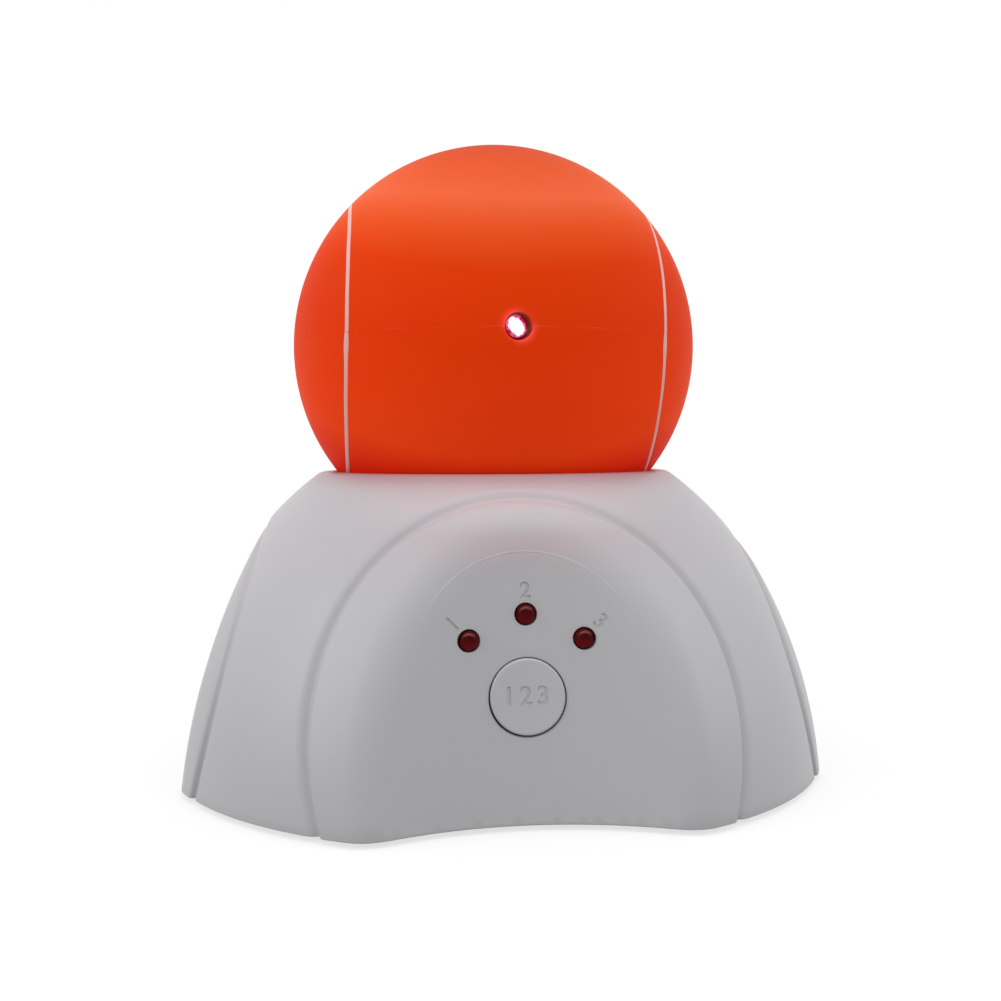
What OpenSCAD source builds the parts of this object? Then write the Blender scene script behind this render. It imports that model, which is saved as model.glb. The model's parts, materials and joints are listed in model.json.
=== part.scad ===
// Automatic cat teaser ball.
// A ball with a laser inside turns on a domed base. The base holds the batteries, the control
// board and a motor with a three-stage spur gear train. Millimetres, +Z up, front faces -Y,
// origin on the floor under the ball's axis.

/* [Ball] */
// Diameter of the ball
ball_d = 84; // [78:0.5:92]
// Wall of the ball's two shells
ball_wall = 2; // [1.5:0.1:2.6]
// Height of the ball's centre above the base's rim
ball_rise = 25.7; // [24:0.1:29]
// Depth of the ball's flat floor below its centre
ball_cut = 32.9; // [31:0.1:35]
// Height of the seam between the shells above the ball's centre
seam_rise = 1.1; // [0:0.1:3]
// Height of the lip inside the seam
lip_h = 1.5; // [1:0.1:2.5]
// Distance of each white line's plane from the ball's centre
line_offset = 30.4; // [26:0.1:33]
// Width of the white lines
line_w = 0.9; // [0.4:0.1:1.2]
// Depth of the grooves that hold the white lines
line_depth = 0.4; // [0.3:0.05:0.6]
// Height that the white lines stand proud
line_proud = 0.05; // [0:0.01:0.1]

/* [Laser] */
// Diameter of the laser's hole in the ball
laser_hole_d = 5; // [4.2:0.1:5.6]
// Diameter of the laser module's barrel
laser_d = 6; // [5.8:0.1:7]
// Length of the laser module's barrel
laser_len = 13; // [11:0.5:15]
// Distance of the barrel's front behind the ball's surface
laser_recess = 2.9; // [2.7:0.1:3.6]
// Downward tilt of the laser
laser_tilt = 5; // [0:0.5:8]
// Diameter of the laser's lens
lens_d = 3.6; // [3:0.1:4.2]

/* [Base shell] */
// Diameter of the base at its bottom edge
base_d = 135.3; // [130:0.5:142]
// Height of the base shell
base_h = 60.2; // [58:0.1:66]
// Wall of the base shell
wall = 2.2; // [1.8:0.1:2.8]
// Width of the flat rim round the ball
rim_w = 2.6; // [1.5:0.1:4]
// Gap between the ball and the rim
ball_gap = 0.8; // [0.5:0.1:1.5]
// How far below the bottom edge the dome's widest level lies
dome_drop = 8.2; // [4:0.1:12]
// Roundness of the dome's side, 2 is an ellipse
dome_power = 2.07; // [2:0.01:2.2]

/* [Arch panels] */
// Distance of the front and back ledges behind the bottom edge
front_ledge = 11.5; // [10:0.1:13]
// Lean of the front and back ledges
front_ledge_lean = 15.5; // [13:0.1:17]
// Distance of the front and back faces behind the bottom edge
front_face = 12.9; // [11.5:0.1:14]
// Lean of the front and back faces
front_face_lean = 8.1; // [6:0.1:10]
// Radius of the hollow across the front and back faces
front_hollow_r = 58; // [50:1:75]
// Distance of the side ledges behind the bottom edge
side_ledge = 8.1; // [7:0.1:9.5]
// Lean of the side ledges
side_ledge_lean = 13.7; // [12:0.1:15.5]
// Distance of the side faces behind the bottom edge
side_face = 9.1; // [8:0.1:11]
// Lean of the side faces
side_face_lean = 11; // [9:0.1:13]
// Radius of the hollow across the side faces
side_hollow_r = 50; // [42:1:65]
// Width of the ledge round each panel
ledge_w = 1.8; // [1.2:0.1:2.6]
// Height of each panel above the dome
panel_raise = 0.3; // [0:0.1:0.8]
// Rounding of each panel's shoulder
shoulder = 4; // [2:0.5:6]
// Rounding of each panel's outer edge
panel_edge = 0.5; // [0.3:0.1:0.8]

/* [Controls] */
// Diameter of the mode button
button_d = 13.2; // [11:0.1:15]
// Gap round the mode button
button_gap = 0.35; // [0.25:0.05:0.6]
// Height of the mode button above the base's bottom edge
button_h = 21.7; // [19:0.1:24]
// Height that the mode button stands proud of the panel
button_proud = 0.4; // [0:0.1:1]
// Travel of the mode button
button_travel = 0.5; // [0.3:0.1:0.8]
// Thickness of the mode button's flange
flange_t = 1.2; // [0.8:0.1:1.6]
// Width of the mode button's flange
flange_w = 1.6; // [1.2:0.1:2.4]
// Length of the mode button's stem
stem_len = 1.2; // [0.8:0.1:2]
// Diameter of the indicator lights
led_d = 3.8; // [3:0.1:5]
// Gap round the indicator lights
led_gap = 0.1; // [0.08:0.01:0.2]
// Height that the indicator lights stand proud
led_proud = 1; // [0.6:0.1:1.6]
// Distance of the indicator lights from the button's centre
led_ring_r = 14.3; // [13:0.1:16]
// Angle between two indicator lights round the button
led_spread = 45.5; // [38:0.5:50]
// Width of the indicator lights' collar
led_collar = 0.4; // [0.3:0.1:0.8]
// Thickness of the control board
board_t = 1.6; // [1:0.1:2]
// Width of the control board
board_w = 38; // [36:0.5:42]
// Height of the control board
board_len = 35; // [34:0.5:38]

/* [Base plate and feet] */
// Thickness of the base plate
plate_t = 2; // [1.6:0.1:2.6]
// Recess of the base plate inside the bottom edge
plate_recess = 0.5; // [0.2:0.1:1]
// Height of the bottom edge above the floor
foot_proud = 1; // [0.8:0.1:2]
// Diameter of the rubber feet
foot_d = 10; // [8:0.5:12]
// Depth of the pockets for the rubber feet
foot_pocket = 0.7; // [0.4:0.1:1]
// Distance of the rubber feet from the axis
foot_reach = 58; // [56:0.5:59]
// Distance of the base plate's screws from the axis
post_reach = 54; // [52:0.5:56]
// Diameter of the screw posts in the base shell
post_d = 7.5; // [6.5:0.1:8.5]

/* [Batteries] */
// Diameter of a battery cell
cell_d = 14.2; // [14:0.1:14.5]
// Length of a battery cell with its tip
cell_len = 50.2; // [49.5:0.1:50.5]
// Distance between two cells' axes
cell_pitch = 14.8; // [14.7:0.1:15.6]
// Wall of the battery bay
bay_wall = 1.5; // [1.2:0.1:2]
// Place of the battery bay behind the axis
bay_shift = 16; // [14:0.5:17]
// Length of a compressed contact spring
spring_len = 4.6; // [4:0.1:6]
// Thickness of the contact plates
contact_t = 0.4; // [0.3:0.05:0.6]
// Gap round the battery door
door_gap = 0.3; // [0.25:0.05:0.5]

/* [Drive] */
// Tooth size of the gears, pitch diameter over teeth
tooth_size = 0.5; // [0.48:0.005:0.52]
// Teeth of the output gear
output_teeth = 60; // [58:2:62]
// Teeth of the second gear's pinion
second_pinion_teeth = 12; // [12:1:13]
// Teeth of the second gear's wheel
second_wheel_teeth = 50; // [48:1:50]
// Teeth of the first gear's pinion
first_pinion_teeth = 10; // [10:1:11]
// Teeth of the first gear's wheel
first_wheel_teeth = 50; // [48:1:50]
// Teeth of the motor's pinion
motor_pinion_teeth = 10; // [10:1:11]
// Thickness of the gears
gear_t = 3; // [2.5:0.1:3.4]
// Gap between gears that lie one above the other
gear_gap = 0.5; // [0.4:0.1:0.8]
// Play between two meshing teeth
backlash = 0.14; // [0.12:0.01:0.2]
// Running clearance of the shafts and pins
running_gap = 0.05; // [0.03:0.01:0.08]
// Diameter of the output shaft
shaft_d = 4; // [3.5:0.1:4.5]
// Diameter of the gear pins and of the motor's shaft
pin_d = 2; // [1.8:0.1:2.2]
// Diameter of the motor
motor_d = 24.4; // [22:0.1:25]
// Length of the motor
motor_len = 12.4; // [10:0.1:15]
// Radius of the mechanism deck
deck_r = 42; // [41.5:0.1:43]
// Thickness of the mechanism deck
deck_t = 2.5; // [2:0.1:3]
// Thickness of the lower gear plate
gear_plate_t = 2; // [1.6:0.1:2.5]
// Radius of the turntable
turntable_r = 20; // [19.5:0.1:20.2]
// Thickness of the turntable
turntable_t = 2.5; // [2:0.1:3]
// Room between the slip rings and the deck
brush_room = 3.7; // [3.4:0.1:5]

/* [Screw threads] */
// How far a base plate screw goes into its post
plate_thread = 9; // [7:0.5:11]
// How far a control board screw goes into its boss
board_thread = 5; // [4:0.5:5.5]
// How far a deck screw goes into its boss
deck_thread = 6; // [4:0.5:7]
// How far a gear plate screw goes into its post
gear_thread = 5; // [4:0.5:6]
// How far a turntable screw goes into the ball's floor
turntable_thread = 6; // [4:0.5:7]
// How far a ball screw goes into the upper shell's column
column_thread = 8; // [6:0.5:9]
// How far a clamp screw goes into the laser's cradle
clamp_thread = 5; // [4:0.5:6]
// Room that a blind hole leaves past its screw's end
thread_room = 1; // [0.5:0.1:1.5]

/* [Hidden] */
$fn = 72;
// Overshoot of a cutting solid past the face that it opens
over = 1;
// Distance between two seated faces that may not press
seat = 0.15;
// Clearance of a screw's thread in its pilot hole
thread_gap = 0.05;
// Clearance of a screw in a through hole
screw_gap = 0.2;

ball_r = ball_d / 2;
base_r = base_d / 2;
shell_z = foot_proud;
rim_z = shell_z + base_h;
ball_z = rim_z + ball_rise;
seam_z = ball_z + seam_rise;
floor_z = ball_z - ball_cut;

// The opening that the ball stands in, and the flat rim round it
opening_r = sqrt(ball_r * ball_r - ball_rise * ball_rise) + ball_gap;
rim_r = opening_r + rim_w;

// The dome's profile is a superellipse through the bottom edge and the rim
dome_steps = 24;
dome_top_reach = base_h + dome_drop;
dome_scale = pow(base_r, dome_power) * pow(dome_top_reach, dome_power)
    - pow(rim_r, dome_power) * pow(dome_drop, dome_power);
dome_radial = (pow(dome_top_reach, dome_power) - pow(dome_drop, dome_power)) / dome_scale;
dome_vertical = (pow(base_r, dome_power) - pow(rim_r, dome_power)) / dome_scale;
function dome_r(h) =
    pow((1 - dome_vertical * pow(h + dome_drop, dome_power)) / dome_radial, 1 / dome_power);
function dome_slope(h) = -dome_vertical / dome_radial * pow(h + dome_drop, dome_power - 1)
    * pow(dome_r(h), 1 - dome_power);
// A point of the profile, moved inwards at right angles by a depth
function dome_point(h, depth) =
    let (s = dome_slope(h), n = sqrt(1 + s * s)) [dome_r(h) - depth / n, h + depth * s / n];

// An arch panel is [ledge distance, ledge lean, face distance, face lean, hollow radius]
front_panel = [base_r - front_ledge, front_ledge_lean, base_r - front_face, front_face_lean,
    front_hollow_r];
side_panel = [base_r - side_ledge, side_ledge_lean, base_r - side_face, side_face_lean,
    side_hollow_r];
panels = [[0, front_panel], [90, side_panel], [180, front_panel], [270, side_panel]];
// How far a panel's block runs back into the dome, and how far the dome stays behind its face
panel_root = 3.2;
panel_skin = 1;
// Points round an arch, rows from its edge to the hollow face, and how deep those rows reach
arch_steps = 32;
panel_rows = 9;
panel_reach = 12.2;
// Rows from there to the panel's middle line, and how high that line reaches
middle_rows = 3;
middle_share = 0.35;

function smooth_min(a, b, blend) = min(a, b) - pow(max(blend - abs(a - b), 0), 2) / (4 * blend);
function ledge_y(p, h) = p[0] - tan(p[1]) * h;
function face_y(p, x, h) =
    p[2] - tan(p[3]) * h + (p[4] - sqrt(p[4] * p[4] - x * x)) / cos(p[3]);
function panel_y(p, x, h) =
    smooth_min(sqrt(pow(dome_r(h) + panel_raise, 2) - x * x), face_y(p, x, h), shoulder);
// Height at which the ledge's plane leaves the dome, found by halving
function arch_top(p, low, high, rounds) =
    let (middle = (low + high) / 2)
    rounds == 0 ? middle
    : dome_r(middle) > ledge_y(p, middle) ? arch_top(p, middle, high, rounds - 1)
    : arch_top(p, low, middle, rounds - 1);
function arch_half(p, h) = sqrt(max(pow(dome_r(h), 2) - pow(ledge_y(p, h), 2), 0));
function arch_point(p, top, turn) =
    let (h = top * sin(turn)) [sign(cos(turn)) * arch_half(p, h), h];
function arch_inward(p, top, turn) =
    turn < 1 ? [-1, 0] : turn > 179 ? [1, 0]
    : let (a = arch_point(p, top, turn - 1), b = arch_point(p, top, turn + 1), d = b - a)
      [-d[1], d[0]] / norm(d);
function arch_inset(p, top, turn, depth) =
    arch_point(p, top, turn) + depth * arch_inward(p, top, turn);

/* Places of the controls, measured forwards from the axis */
wall_back = face_y(front_panel, 0, button_h) - wall / cos(front_face_lean);
flange_r = button_d / 2 + flange_w;
flange_front = wall_back - tan(front_face_lean) * flange_r - 0.3;
flange_back = flange_front - flange_t;
stem_back = flange_back - stem_len;
plunger_len = 2;
switch_w = 6.2;
switch_t = 3.4;
plunger_d = 3.4;
board_front = stem_back - plunger_len - switch_t;
board_back = board_front - board_t;
board_bottom = 6;
button_z = shell_z + button_h;
leds = [for (turn = [-led_spread, 0, led_spread])
    [led_ring_r * sin(turn), button_h + led_ring_r * cos(turn)]];
board_screw_x = 15;
board_screw_rows = [board_bottom + 4, board_bottom + board_len - 3];
board_screw_d = 2.2;
board_post_d = 5;

/* Heights of the mechanism, from the ball down */
turntable_z = floor_z - turntable_t;
ring_board_t = 1;
ring_board_z = turntable_z - ring_board_t;
track_t = 0.3;
track_z = ring_board_z - track_t;
deck_top = track_z - brush_room;
deck_z = deck_top - deck_t;
level_a = deck_z - gear_gap - gear_t;
level_b = level_a - gear_gap - gear_t;
level_c = level_b - gear_gap - gear_t;
gear_plate_top = level_c - gear_gap;
gear_plate_z = gear_plate_top - gear_plate_t;
end_play = 0.2;

/* Places of the gears, seen from above */
second_turn = 200;
second_reach = tooth_size * (output_teeth + second_pinion_teeth) / 2;
second_at = second_reach * [cos(second_turn), sin(second_turn)];
first_turn = 279;
first_reach = tooth_size * (second_wheel_teeth + first_pinion_teeth) / 2;
first_at = second_at + first_reach * [cos(first_turn), sin(first_turn)];
motor_turn = -15;
motor_reach = tooth_size * (first_wheel_teeth + motor_pinion_teeth) / 2;
motor_at = first_at + motor_reach * [cos(motor_turn), sin(motor_turn)];
gear_hub_r = pin_d / 2 + 0.8;
// Turn of a gear whose tooth gap faces a tooth of the gear that it meshes with
function mesh_turn(direction, driver_turn, driver_teeth, teeth) =
    direction + 180 + ((direction - driver_turn) * driver_teeth - 180) / teeth;
second_pinion_turn = mesh_turn(second_turn, 0, output_teeth, second_pinion_teeth);
first_pinion_turn = mesh_turn(first_turn, 0, second_wheel_teeth, first_pinion_teeth);
motor_pinion_turn = mesh_turn(motor_turn, 0, first_wheel_teeth, motor_pinion_teeth);

// Corners of the gear plate, each with a post up to the deck
gear_posts = [[20, -10], [-16, 14.5], [-31.5, -17], [14, -30]];
gear_post_d = 6;
gear_pad_r = 4.2;
gear_plate_edge = 3.2;
gear_screw_d = 2.2;
deck_boss_reach = 38;
deck_boss_d = 7;
deck_screw_d = 2.6;
deck_front = 36;

/* Turntable and ball fittings */
hub_r = 5;
hub_len = turntable_z - deck_top - 1 - 0.3;
turntable_screw_reach = 16.5;
turntable_screw_turns = [30, 150, 270];
turntable_screw_d = 2.2;
turntable_boss_d = 6;
turntable_boss_h = turntable_thread + thread_room + 1;
ring_board_r = 13.2;
ring_board_bore = 6;
track_w = 1.5;
track_radii = [8.25, 11.25];
wire_hole_r = 1.6;
wire_hole_at = [0, 10];
column_reach = 22.5;
column_turns = [90, 210, 330];
column_d = 6.4;
column_screw_d = 2.2;
column_head_depth = 6;

/* Screw heads are this much wider than the thread, and this high */
head_extra = 2.2;
head_h = 1.5;

/* Base plate, battery bay and door, z above the floor */
plate_z = shell_z + plate_recess;
plate_top = plate_z + plate_t;
plate_clear = 0.3;
foot_turns = [34, 146, 214, 326];
post_turns = [52, 128, 232, 308];
post_screw_d = 2.9;
plate_boss_h = 3;
cell_lift = 0.8;
cell_z = plate_top + cell_lift + cell_d / 2;
contact_gap = 0.2;
bay_len = cell_len + spring_len + 2 * contact_t + contact_gap;
bay_w = 2 * cell_pitch + cell_d + 0.6;
bay_roof = cell_z + cell_d / 2 + 0.3;
bay_back = bay_shift + bay_w / 2;
bay_front = bay_shift - bay_w / 2;
door_axis_y = bay_back - door_gap - plate_t / 2;
door_axis_z = plate_z + plate_t / 2;
hook_w = 8;
hook_places = [-18, 18];
hook_reach = 2.6;
hook_t = 0.9;
notch_r = 8;

/* Shared helpers */

// Turns a piece that is drawn for the front to face another way
module facing(turn) rotate([0, 0, turn]) children();

// Places a piece on a circle, a turn of 0 being the front
module on_circle(reach, turn) rotate([0, 0, turn]) translate([0, -reach, 0]) children();

// A rod along the forward direction, from one distance in front of the axis to another
module forward_rod(r, from, to) translate([0, -from, 0]) rotate([90, 0, 0]) cylinder(r = r, h = to - from);

// The outside of the dome without its panels, as a solid, less a depth of wall
module dome_solid(depth) {
    rise = [for (i = [0 : dome_steps]) dome_point(base_h * i / dome_steps, depth)];
    top = rise[dome_steps][1];
    translate([0, 0, shell_z])
        rotate_extrude()
            polygon(concat([[0, rise[0][1]]], rise, [[0, top]]));
}

// The hollow of a panel's face, as a leaning rod in front of it
module hollow_rod(p, r) {
    translate([0, -(p[2] + p[4] / cos(p[3])), shell_z])
        rotate([-p[3], 0, 0])
            translate([0, 0, -base_h / 2])
                cylinder(r = r, h = 2 * base_h);
}

// All that lies in front of a panel's ledge
module ledge_cut(p) {
    translate([0, -p[0], shell_z])
        rotate([-p[1], 0, 0])
            translate([-base_r, -base_r, -base_h / 4])
                cube([2 * base_r, base_r, 1.5 * base_h]);
}

// An arch panel: a block whose front follows the dome, rounds over a shoulder
// and falls back into the hollow face
module panel_block(p) {
    top = arch_top(p, base_h * 0.3, base_h, 30);
    turns = [for (j = [0 : arch_steps]) 180 * j / arch_steps];
    root = [for (t = turns)
        let (q = arch_inset(p, top, t, ledge_w)) [q[0], -(ledge_y(p, q[1]) - panel_root), q[1]]];
    edge = [for (t = turns)
        let (q = arch_inset(p, top, t, ledge_w)) [q[0], -(panel_y(p, q[0], q[1]) - panel_edge), q[1]]];
    rows = [for (i = [0 : panel_rows], t = turns)
        let (q = arch_inset(p, top, t, ledge_w + panel_edge + panel_reach * i / panel_rows))
        [q[0], -panel_y(p, q[0], q[1]), q[1]]];
    inner = [for (i = [1 : middle_rows], t = turns)
        let (a = arch_inset(p, top, t, ledge_w + panel_edge + panel_reach),
             b = [0, middle_share * a[1]],
             q = a + (b - a) * i / middle_rows)
        [q[0], -panel_y(p, q[0], q[1]), q[1]]];
    points = concat(root, edge, rows, inner);
    wide = arch_steps + 1;
    last = panel_rows + middle_rows + 2;
    function at(i, j) = i * wide + (i == last && j > arch_steps / 2 ? arch_steps - j : j);
    skin = [for (i = [0 : last - 1], j = [0 : arch_steps - 1], half = [0, 1])
        let (left = j >= arch_steps / 2,
             a = at(i, j), b = at(i, j + 1), c = at(i + 1, j + 1), d = at(i + 1, j))
        left ? (half == 0 ? [a, d, b] : [b, d, c]) : (half == 0 ? [a, c, b] : [a, d, c])];
    bottom = concat([for (i = [last : -1 : 0]) at(i, 0)],
        [for (i = [0 : last - 1]) at(i, arch_steps)]);
    back = [for (j = [0 : arch_steps]) at(0, j)];
    translate([0, 0, shell_z])
        polyhedron(points, concat(skin, [bottom, back]));
}

// A pan-head screw, thread up from its head's seat
module screw(d, thread) {
    translate([0, 0, -head_h]) cylinder(d = d + head_extra, h = head_h);
    cylinder(d = d, h = thread);
}

// The base shell, from here down one module per sub-part
module base_shell() {
    color("whitesmoke") difference() {
        union() {
            difference() {
                union() {
                    difference() {
                        dome_solid(0);
                        for (p = panels) facing(p[0]) {
                            ledge_cut(p[1]);
                            hollow_rod(p[1], p[1][4] + panel_skin);
                        }
                    }
                    for (p = panels) facing(p[0]) panel_block(p[1]);
                }
                shell_cavity();
            }
            shell_posts();
        }
        translate([0, 0, rim_z - base_h / 4]) cylinder(r = opening_r, h = base_h / 4 + over);
        translate([0, 0, button_z]) forward_rod(button_d / 2 + button_gap, flange_front, base_r);
        for (q = leds)
            translate([q[0], 0, shell_z + q[1]]) forward_rod(led_d / 2 + led_gap, board_front, base_r);
        shell_pilots();
    }
}

// The room inside the base shell, open at the bottom
module shell_cavity() {
    difference() {
        union() {
            dome_solid(wall);
            translate([0, 0, -over]) cylinder(r = dome_point(0, wall)[0], h = shell_z + 2 * over);
        }
        for (p = panels) facing(p[0]) hollow_rod(p[1], p[1][4] + wall);
    }
}

// Posts for the base plate's screws, bosses for the deck and bosses for the control board
module shell_posts() {
    intersection() {
        dome_solid(wall / 2);
        union() {
            for (turn = post_turns)
                on_circle(post_reach, turn)
                    translate([0, 0, plate_top + plate_boss_h + seat]) cylinder(d = post_d, h = base_h);
            for (turn = [45 : 90 : 315])
                on_circle(deck_boss_reach, turn)
                    translate([0, 0, deck_top]) cylinder(d = deck_boss_d, h = base_h);
        }
    }
    for (x = [-board_screw_x, board_screw_x], h = board_screw_rows)
        translate([x, 0, shell_z + h])
            forward_rod(board_post_d / 2, board_front, face_y(front_panel, x, h) - wall / 2);
}

module shell_pilots() {
    for (turn = post_turns)
        on_circle(post_reach, turn)
            translate([0, 0, plate_top])
                cylinder(d = post_screw_d + 2 * thread_gap, h = plate_boss_h + plate_thread + thread_room);
    for (turn = [45 : 90 : 315])
        on_circle(deck_boss_reach, turn)
            translate([0, 0, deck_top - over])
                cylinder(d = deck_screw_d + 2 * thread_gap, h = deck_thread + thread_room + over);
    for (x = [-board_screw_x, board_screw_x], h = board_screw_rows)
        translate([x, 0, shell_z + h])
            forward_rod(board_screw_d / 2 + thread_gap, board_front - over,
                board_front + board_thread + thread_room);
}

// The base plate with the battery bay's walls and roof
module base_plate() {
    color("gainsboro") difference() {
        union() {
            translate([0, 0, plate_z]) linear_extrude(plate_t) plate_outline();
            translate([-bay_len / 2 - bay_wall, bay_front - bay_wall, plate_z])
                cube([bay_len + 2 * bay_wall, bay_w + 2 * bay_wall, bay_roof + bay_wall - plate_z]);
            for (turn = post_turns)
                on_circle(post_reach, turn)
                    translate([0, 0, plate_z]) cylinder(d = post_d + 1.5, h = plate_t + plate_boss_h);
        }
        translate([-bay_len / 2, bay_front, plate_z - over])
            cube([bay_len, bay_w, bay_roof - plate_z + over]);
        for (x = hook_places)
            translate([x - hook_w / 2 - door_gap, bay_back - over, plate_top])
                cube([hook_w + 2 * door_gap, bay_wall + 2 * over, 3.4]);
        for (turn = post_turns)
            on_circle(post_reach, turn) {
                translate([0, 0, plate_z - over])
                    cylinder(d = post_screw_d + head_extra + 2 * screw_gap, h = plate_t + over);
                translate([0, 0, plate_z])
                    cylinder(d = post_screw_d + 2 * screw_gap, h = plate_t + 2 * plate_boss_h);
            }
        for (turn = foot_turns)
            on_circle(foot_reach, turn)
                translate([0, 0, plate_z - over]) cylinder(d = foot_d + 2 * seat, h = foot_pocket + over);
        translate([0, bay_front + door_gap, plate_z - over])
            cylinder(r = notch_r, h = plate_t / 2 + over);
    }
}

// A disc scooped out to clear the leaning back of each panel at the plate's top
module plate_outline() {
    h = plate_top - shell_z;
    difference() {
        circle(r = dome_point(h, wall)[0] - plate_clear);
        for (p = panels) {
            lean = p[1][3];
            facing(p[0])
                translate([0, -(p[1][2] + p[1][4] / cos(lean) - tan(lean) * h)])
                    circle(r = (p[1][4] + wall) / cos(lean) + plate_clear);
        }
    }
}

module base_plate_screws() {
    color("silver") for (turn = post_turns)
        on_circle(post_reach, turn)
            translate([0, 0, plate_z + plate_t]) screw(post_screw_d, plate_boss_h + plate_thread);
}

module rubber_feet() {
    round = 0.6;
    color("dimgray") for (turn = foot_turns)
        on_circle(foot_reach, turn)
            rotate_extrude()
                polygon([[0, 0], [foot_d / 2 - round, 0], [foot_d / 2, round],
                    [foot_d / 2, plate_z + foot_pocket], [0, plate_z + foot_pocket]]);
}

// The battery door swings down about its back edge and has two hooks there
module battery_door() {
    front = bay_front + door_gap;
    half = bay_len / 2 - door_gap;
    color("gainsboro") difference() {
        union() {
            translate([-half, front, plate_z]) cube([2 * half, door_axis_y - front, plate_t]);
            translate([-half, door_axis_y, door_axis_z])
                rotate([0, 90, 0]) cylinder(d = plate_t, h = 2 * half);
            for (x = hook_places) translate([x - hook_w / 2, 0, 0]) {
                translate([0, door_axis_y - 4, plate_top - over / 2])
                    cube([hook_w, 4, hook_t + seat + over / 2]);
                translate([0, door_axis_y - over, plate_top + seat])
                    cube([hook_w, hook_reach + over, hook_t]);
            }
        }
        // Grip ribs in the finger notch
        for (i = [0 : 3])
            translate([-notch_r * 0.7, front + 3 + 1.6 * i, plate_z - over])
                cube([notch_r * 1.4, 0.8, over + 0.4]);
    }
}

// One cell along X, its tip towards +X, or towards -X when turned
module aa_cell(turned) {
    tip_h = 1.2;
    mirror([turned ? 1 : 0, 0, 0])
        translate([-bay_len / 2 + contact_t + spring_len, 0, cell_z])
            rotate([0, 90, 0])
                rotate_extrude()
                    polygon([[0, 0], [cell_d / 2 - 0.8, 0], [cell_d / 2, 0.6],
                        [cell_d / 2, cell_len - tip_h - 0.6], [cell_d / 2 - 0.6, cell_len - tip_h],
                        [2.7, cell_len - tip_h], [2.7, cell_len], [0, cell_len]]);
}
module aa_cell_1() color("steelblue") translate([0, bay_shift - cell_pitch, 0]) aa_cell(false);
module aa_cell_2() color("steelblue") translate([0, bay_shift, 0]) aa_cell(true);
module aa_cell_3() color("steelblue") translate([0, bay_shift + cell_pitch, 0]) aa_cell(false);

// A cone-shaped contact spring as one unbroken tube, along X from 0
module contact_spring() {
    wire_r = 0.4;
    turns = 4;
    rings = 8 * turns;
    sides = 6;
    wide = 4.4;
    slim = 2.6;
    run = spring_len - 2 * wire_r - contact_gap;
    points = [for (i = [0 : rings], k = [0 : sides - 1])
        let (s = i / rings, a = 360 * turns * s, b = 360 * k / sides,
             r = wide + (slim - wide) * s + wire_r * cos(b))
        [wire_r + contact_gap / 2 + run * s + wire_r * sin(b), r * cos(a), r * sin(a)]];
    skin = [for (i = [0 : rings - 1], k = [0 : sides - 1], half = [0, 1])
        let (m = (k + 1) % sides, a = i * sides + k, b = i * sides + m,
             c = (i + 1) * sides + m, d = (i + 1) * sides + k)
        half == 0 ? [a, b, c] : [a, c, d]];
    ends = [[for (k = [sides - 1 : -1 : 0]) k], [for (k = [0 : sides - 1]) rings * sides + k]];
    polyhedron(points, concat(skin, ends));
}
module contact_springs() {
    start = -bay_len / 2 + contact_t;
    color("silver") {
        for (y = [-cell_pitch, cell_pitch])
            translate([start, bay_shift + y, cell_z]) contact_spring();
        mirror([1, 0, 0]) translate([start, bay_shift, cell_z]) contact_spring();
    }
}

module contact_plates() {
    wide = cell_pitch - 3;
    tall = cell_d - 3;
    // Each plate is its end's side and the cells that it joins
    spans = [[-1, -1, -1], [-1, 0, 1], [1, -1, 0], [1, 1, 1]];
    color("silver") for (s = spans)
        translate([s[0] < 0 ? -bay_len / 2 : bay_len / 2 - contact_t,
            bay_shift + s[1] * cell_pitch - wide / 2, cell_z - tall / 2])
            cube([contact_t, (s[2] - s[1]) * cell_pitch + wide, tall]);
}

// The mode button: cap, retaining flange and stem, drawn along the forward direction
module mode_button() {
    p = [for (i = [0 : 4]) front_panel[i] + (i == 2 ? button_proud : 0)];
    color("white") difference() {
        translate([0, 0, button_z]) {
            forward_rod(button_d / 2, flange_back, face_y(p, button_d / 2, button_h - button_d / 2) + 1);
            forward_rod(flange_r, flange_back, flange_front);
            forward_rod(2, stem_back, flange_back + over);
        }
        hollow_rod(p, p[4]);
    }
}

module tact_switch() {
    color("dimgray") difference() {
        translate([-switch_w / 2, -board_front - switch_t, button_z - switch_w / 2])
            cube([switch_w, switch_t, switch_w]);
        translate([0, 0, button_z])
            forward_rod(plunger_d / 2 + running_gap, board_front + 1, board_front + switch_t + over);
    }
}

module switch_plunger() {
    color("black") translate([0, 0, button_z])
        forward_rod(plunger_d / 2, board_front + 1 + button_travel + seat, stem_back);
}

// An indicator light: a lens with a round tip, a collar behind the wall and two legs
module led(q) {
    r = led_d / 2;
    tip = face_y(front_panel, q[0], q[1]) + led_proud;
    collar = face_y(front_panel, q[0], q[1]) - wall / cos(front_face_lean)
        - tan(front_face_lean) * (r + led_collar) - 0.3;
    dome = [for (a = [0 : 15 : 90]) [r * cos(a), tip - r + r * sin(a)]];
    translate([q[0], 0, shell_z + q[1]]) {
        rotate([90, 0, 0]) rotate_extrude()
            polygon(concat([[0, collar - 1], [r + led_collar, collar - 1], [r + led_collar, collar],
                [r, collar]], dome));
        for (x = [-1.2, 1.2])
            translate([x - 0.25, 1 - collar, -0.25]) cube([0.5, collar - 1 - board_front, 0.5]);
    }
}
module led_left() color("darkred") led(leds[0]);
module led_centre() color("darkred") led(leds[1]);
module led_right() color("darkred") led(leds[2]);

module control_board() {
    color("seagreen") difference() {
        translate([-board_w / 2, -board_front, shell_z + board_bottom]) cube([board_w, board_t, board_len]);
        for (x = [-board_screw_x, board_screw_x], h = board_screw_rows)
            translate([x, 0, shell_z + h])
                forward_rod(board_screw_d / 2 + screw_gap, board_back - over, board_front + over);
    }
}

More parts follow.
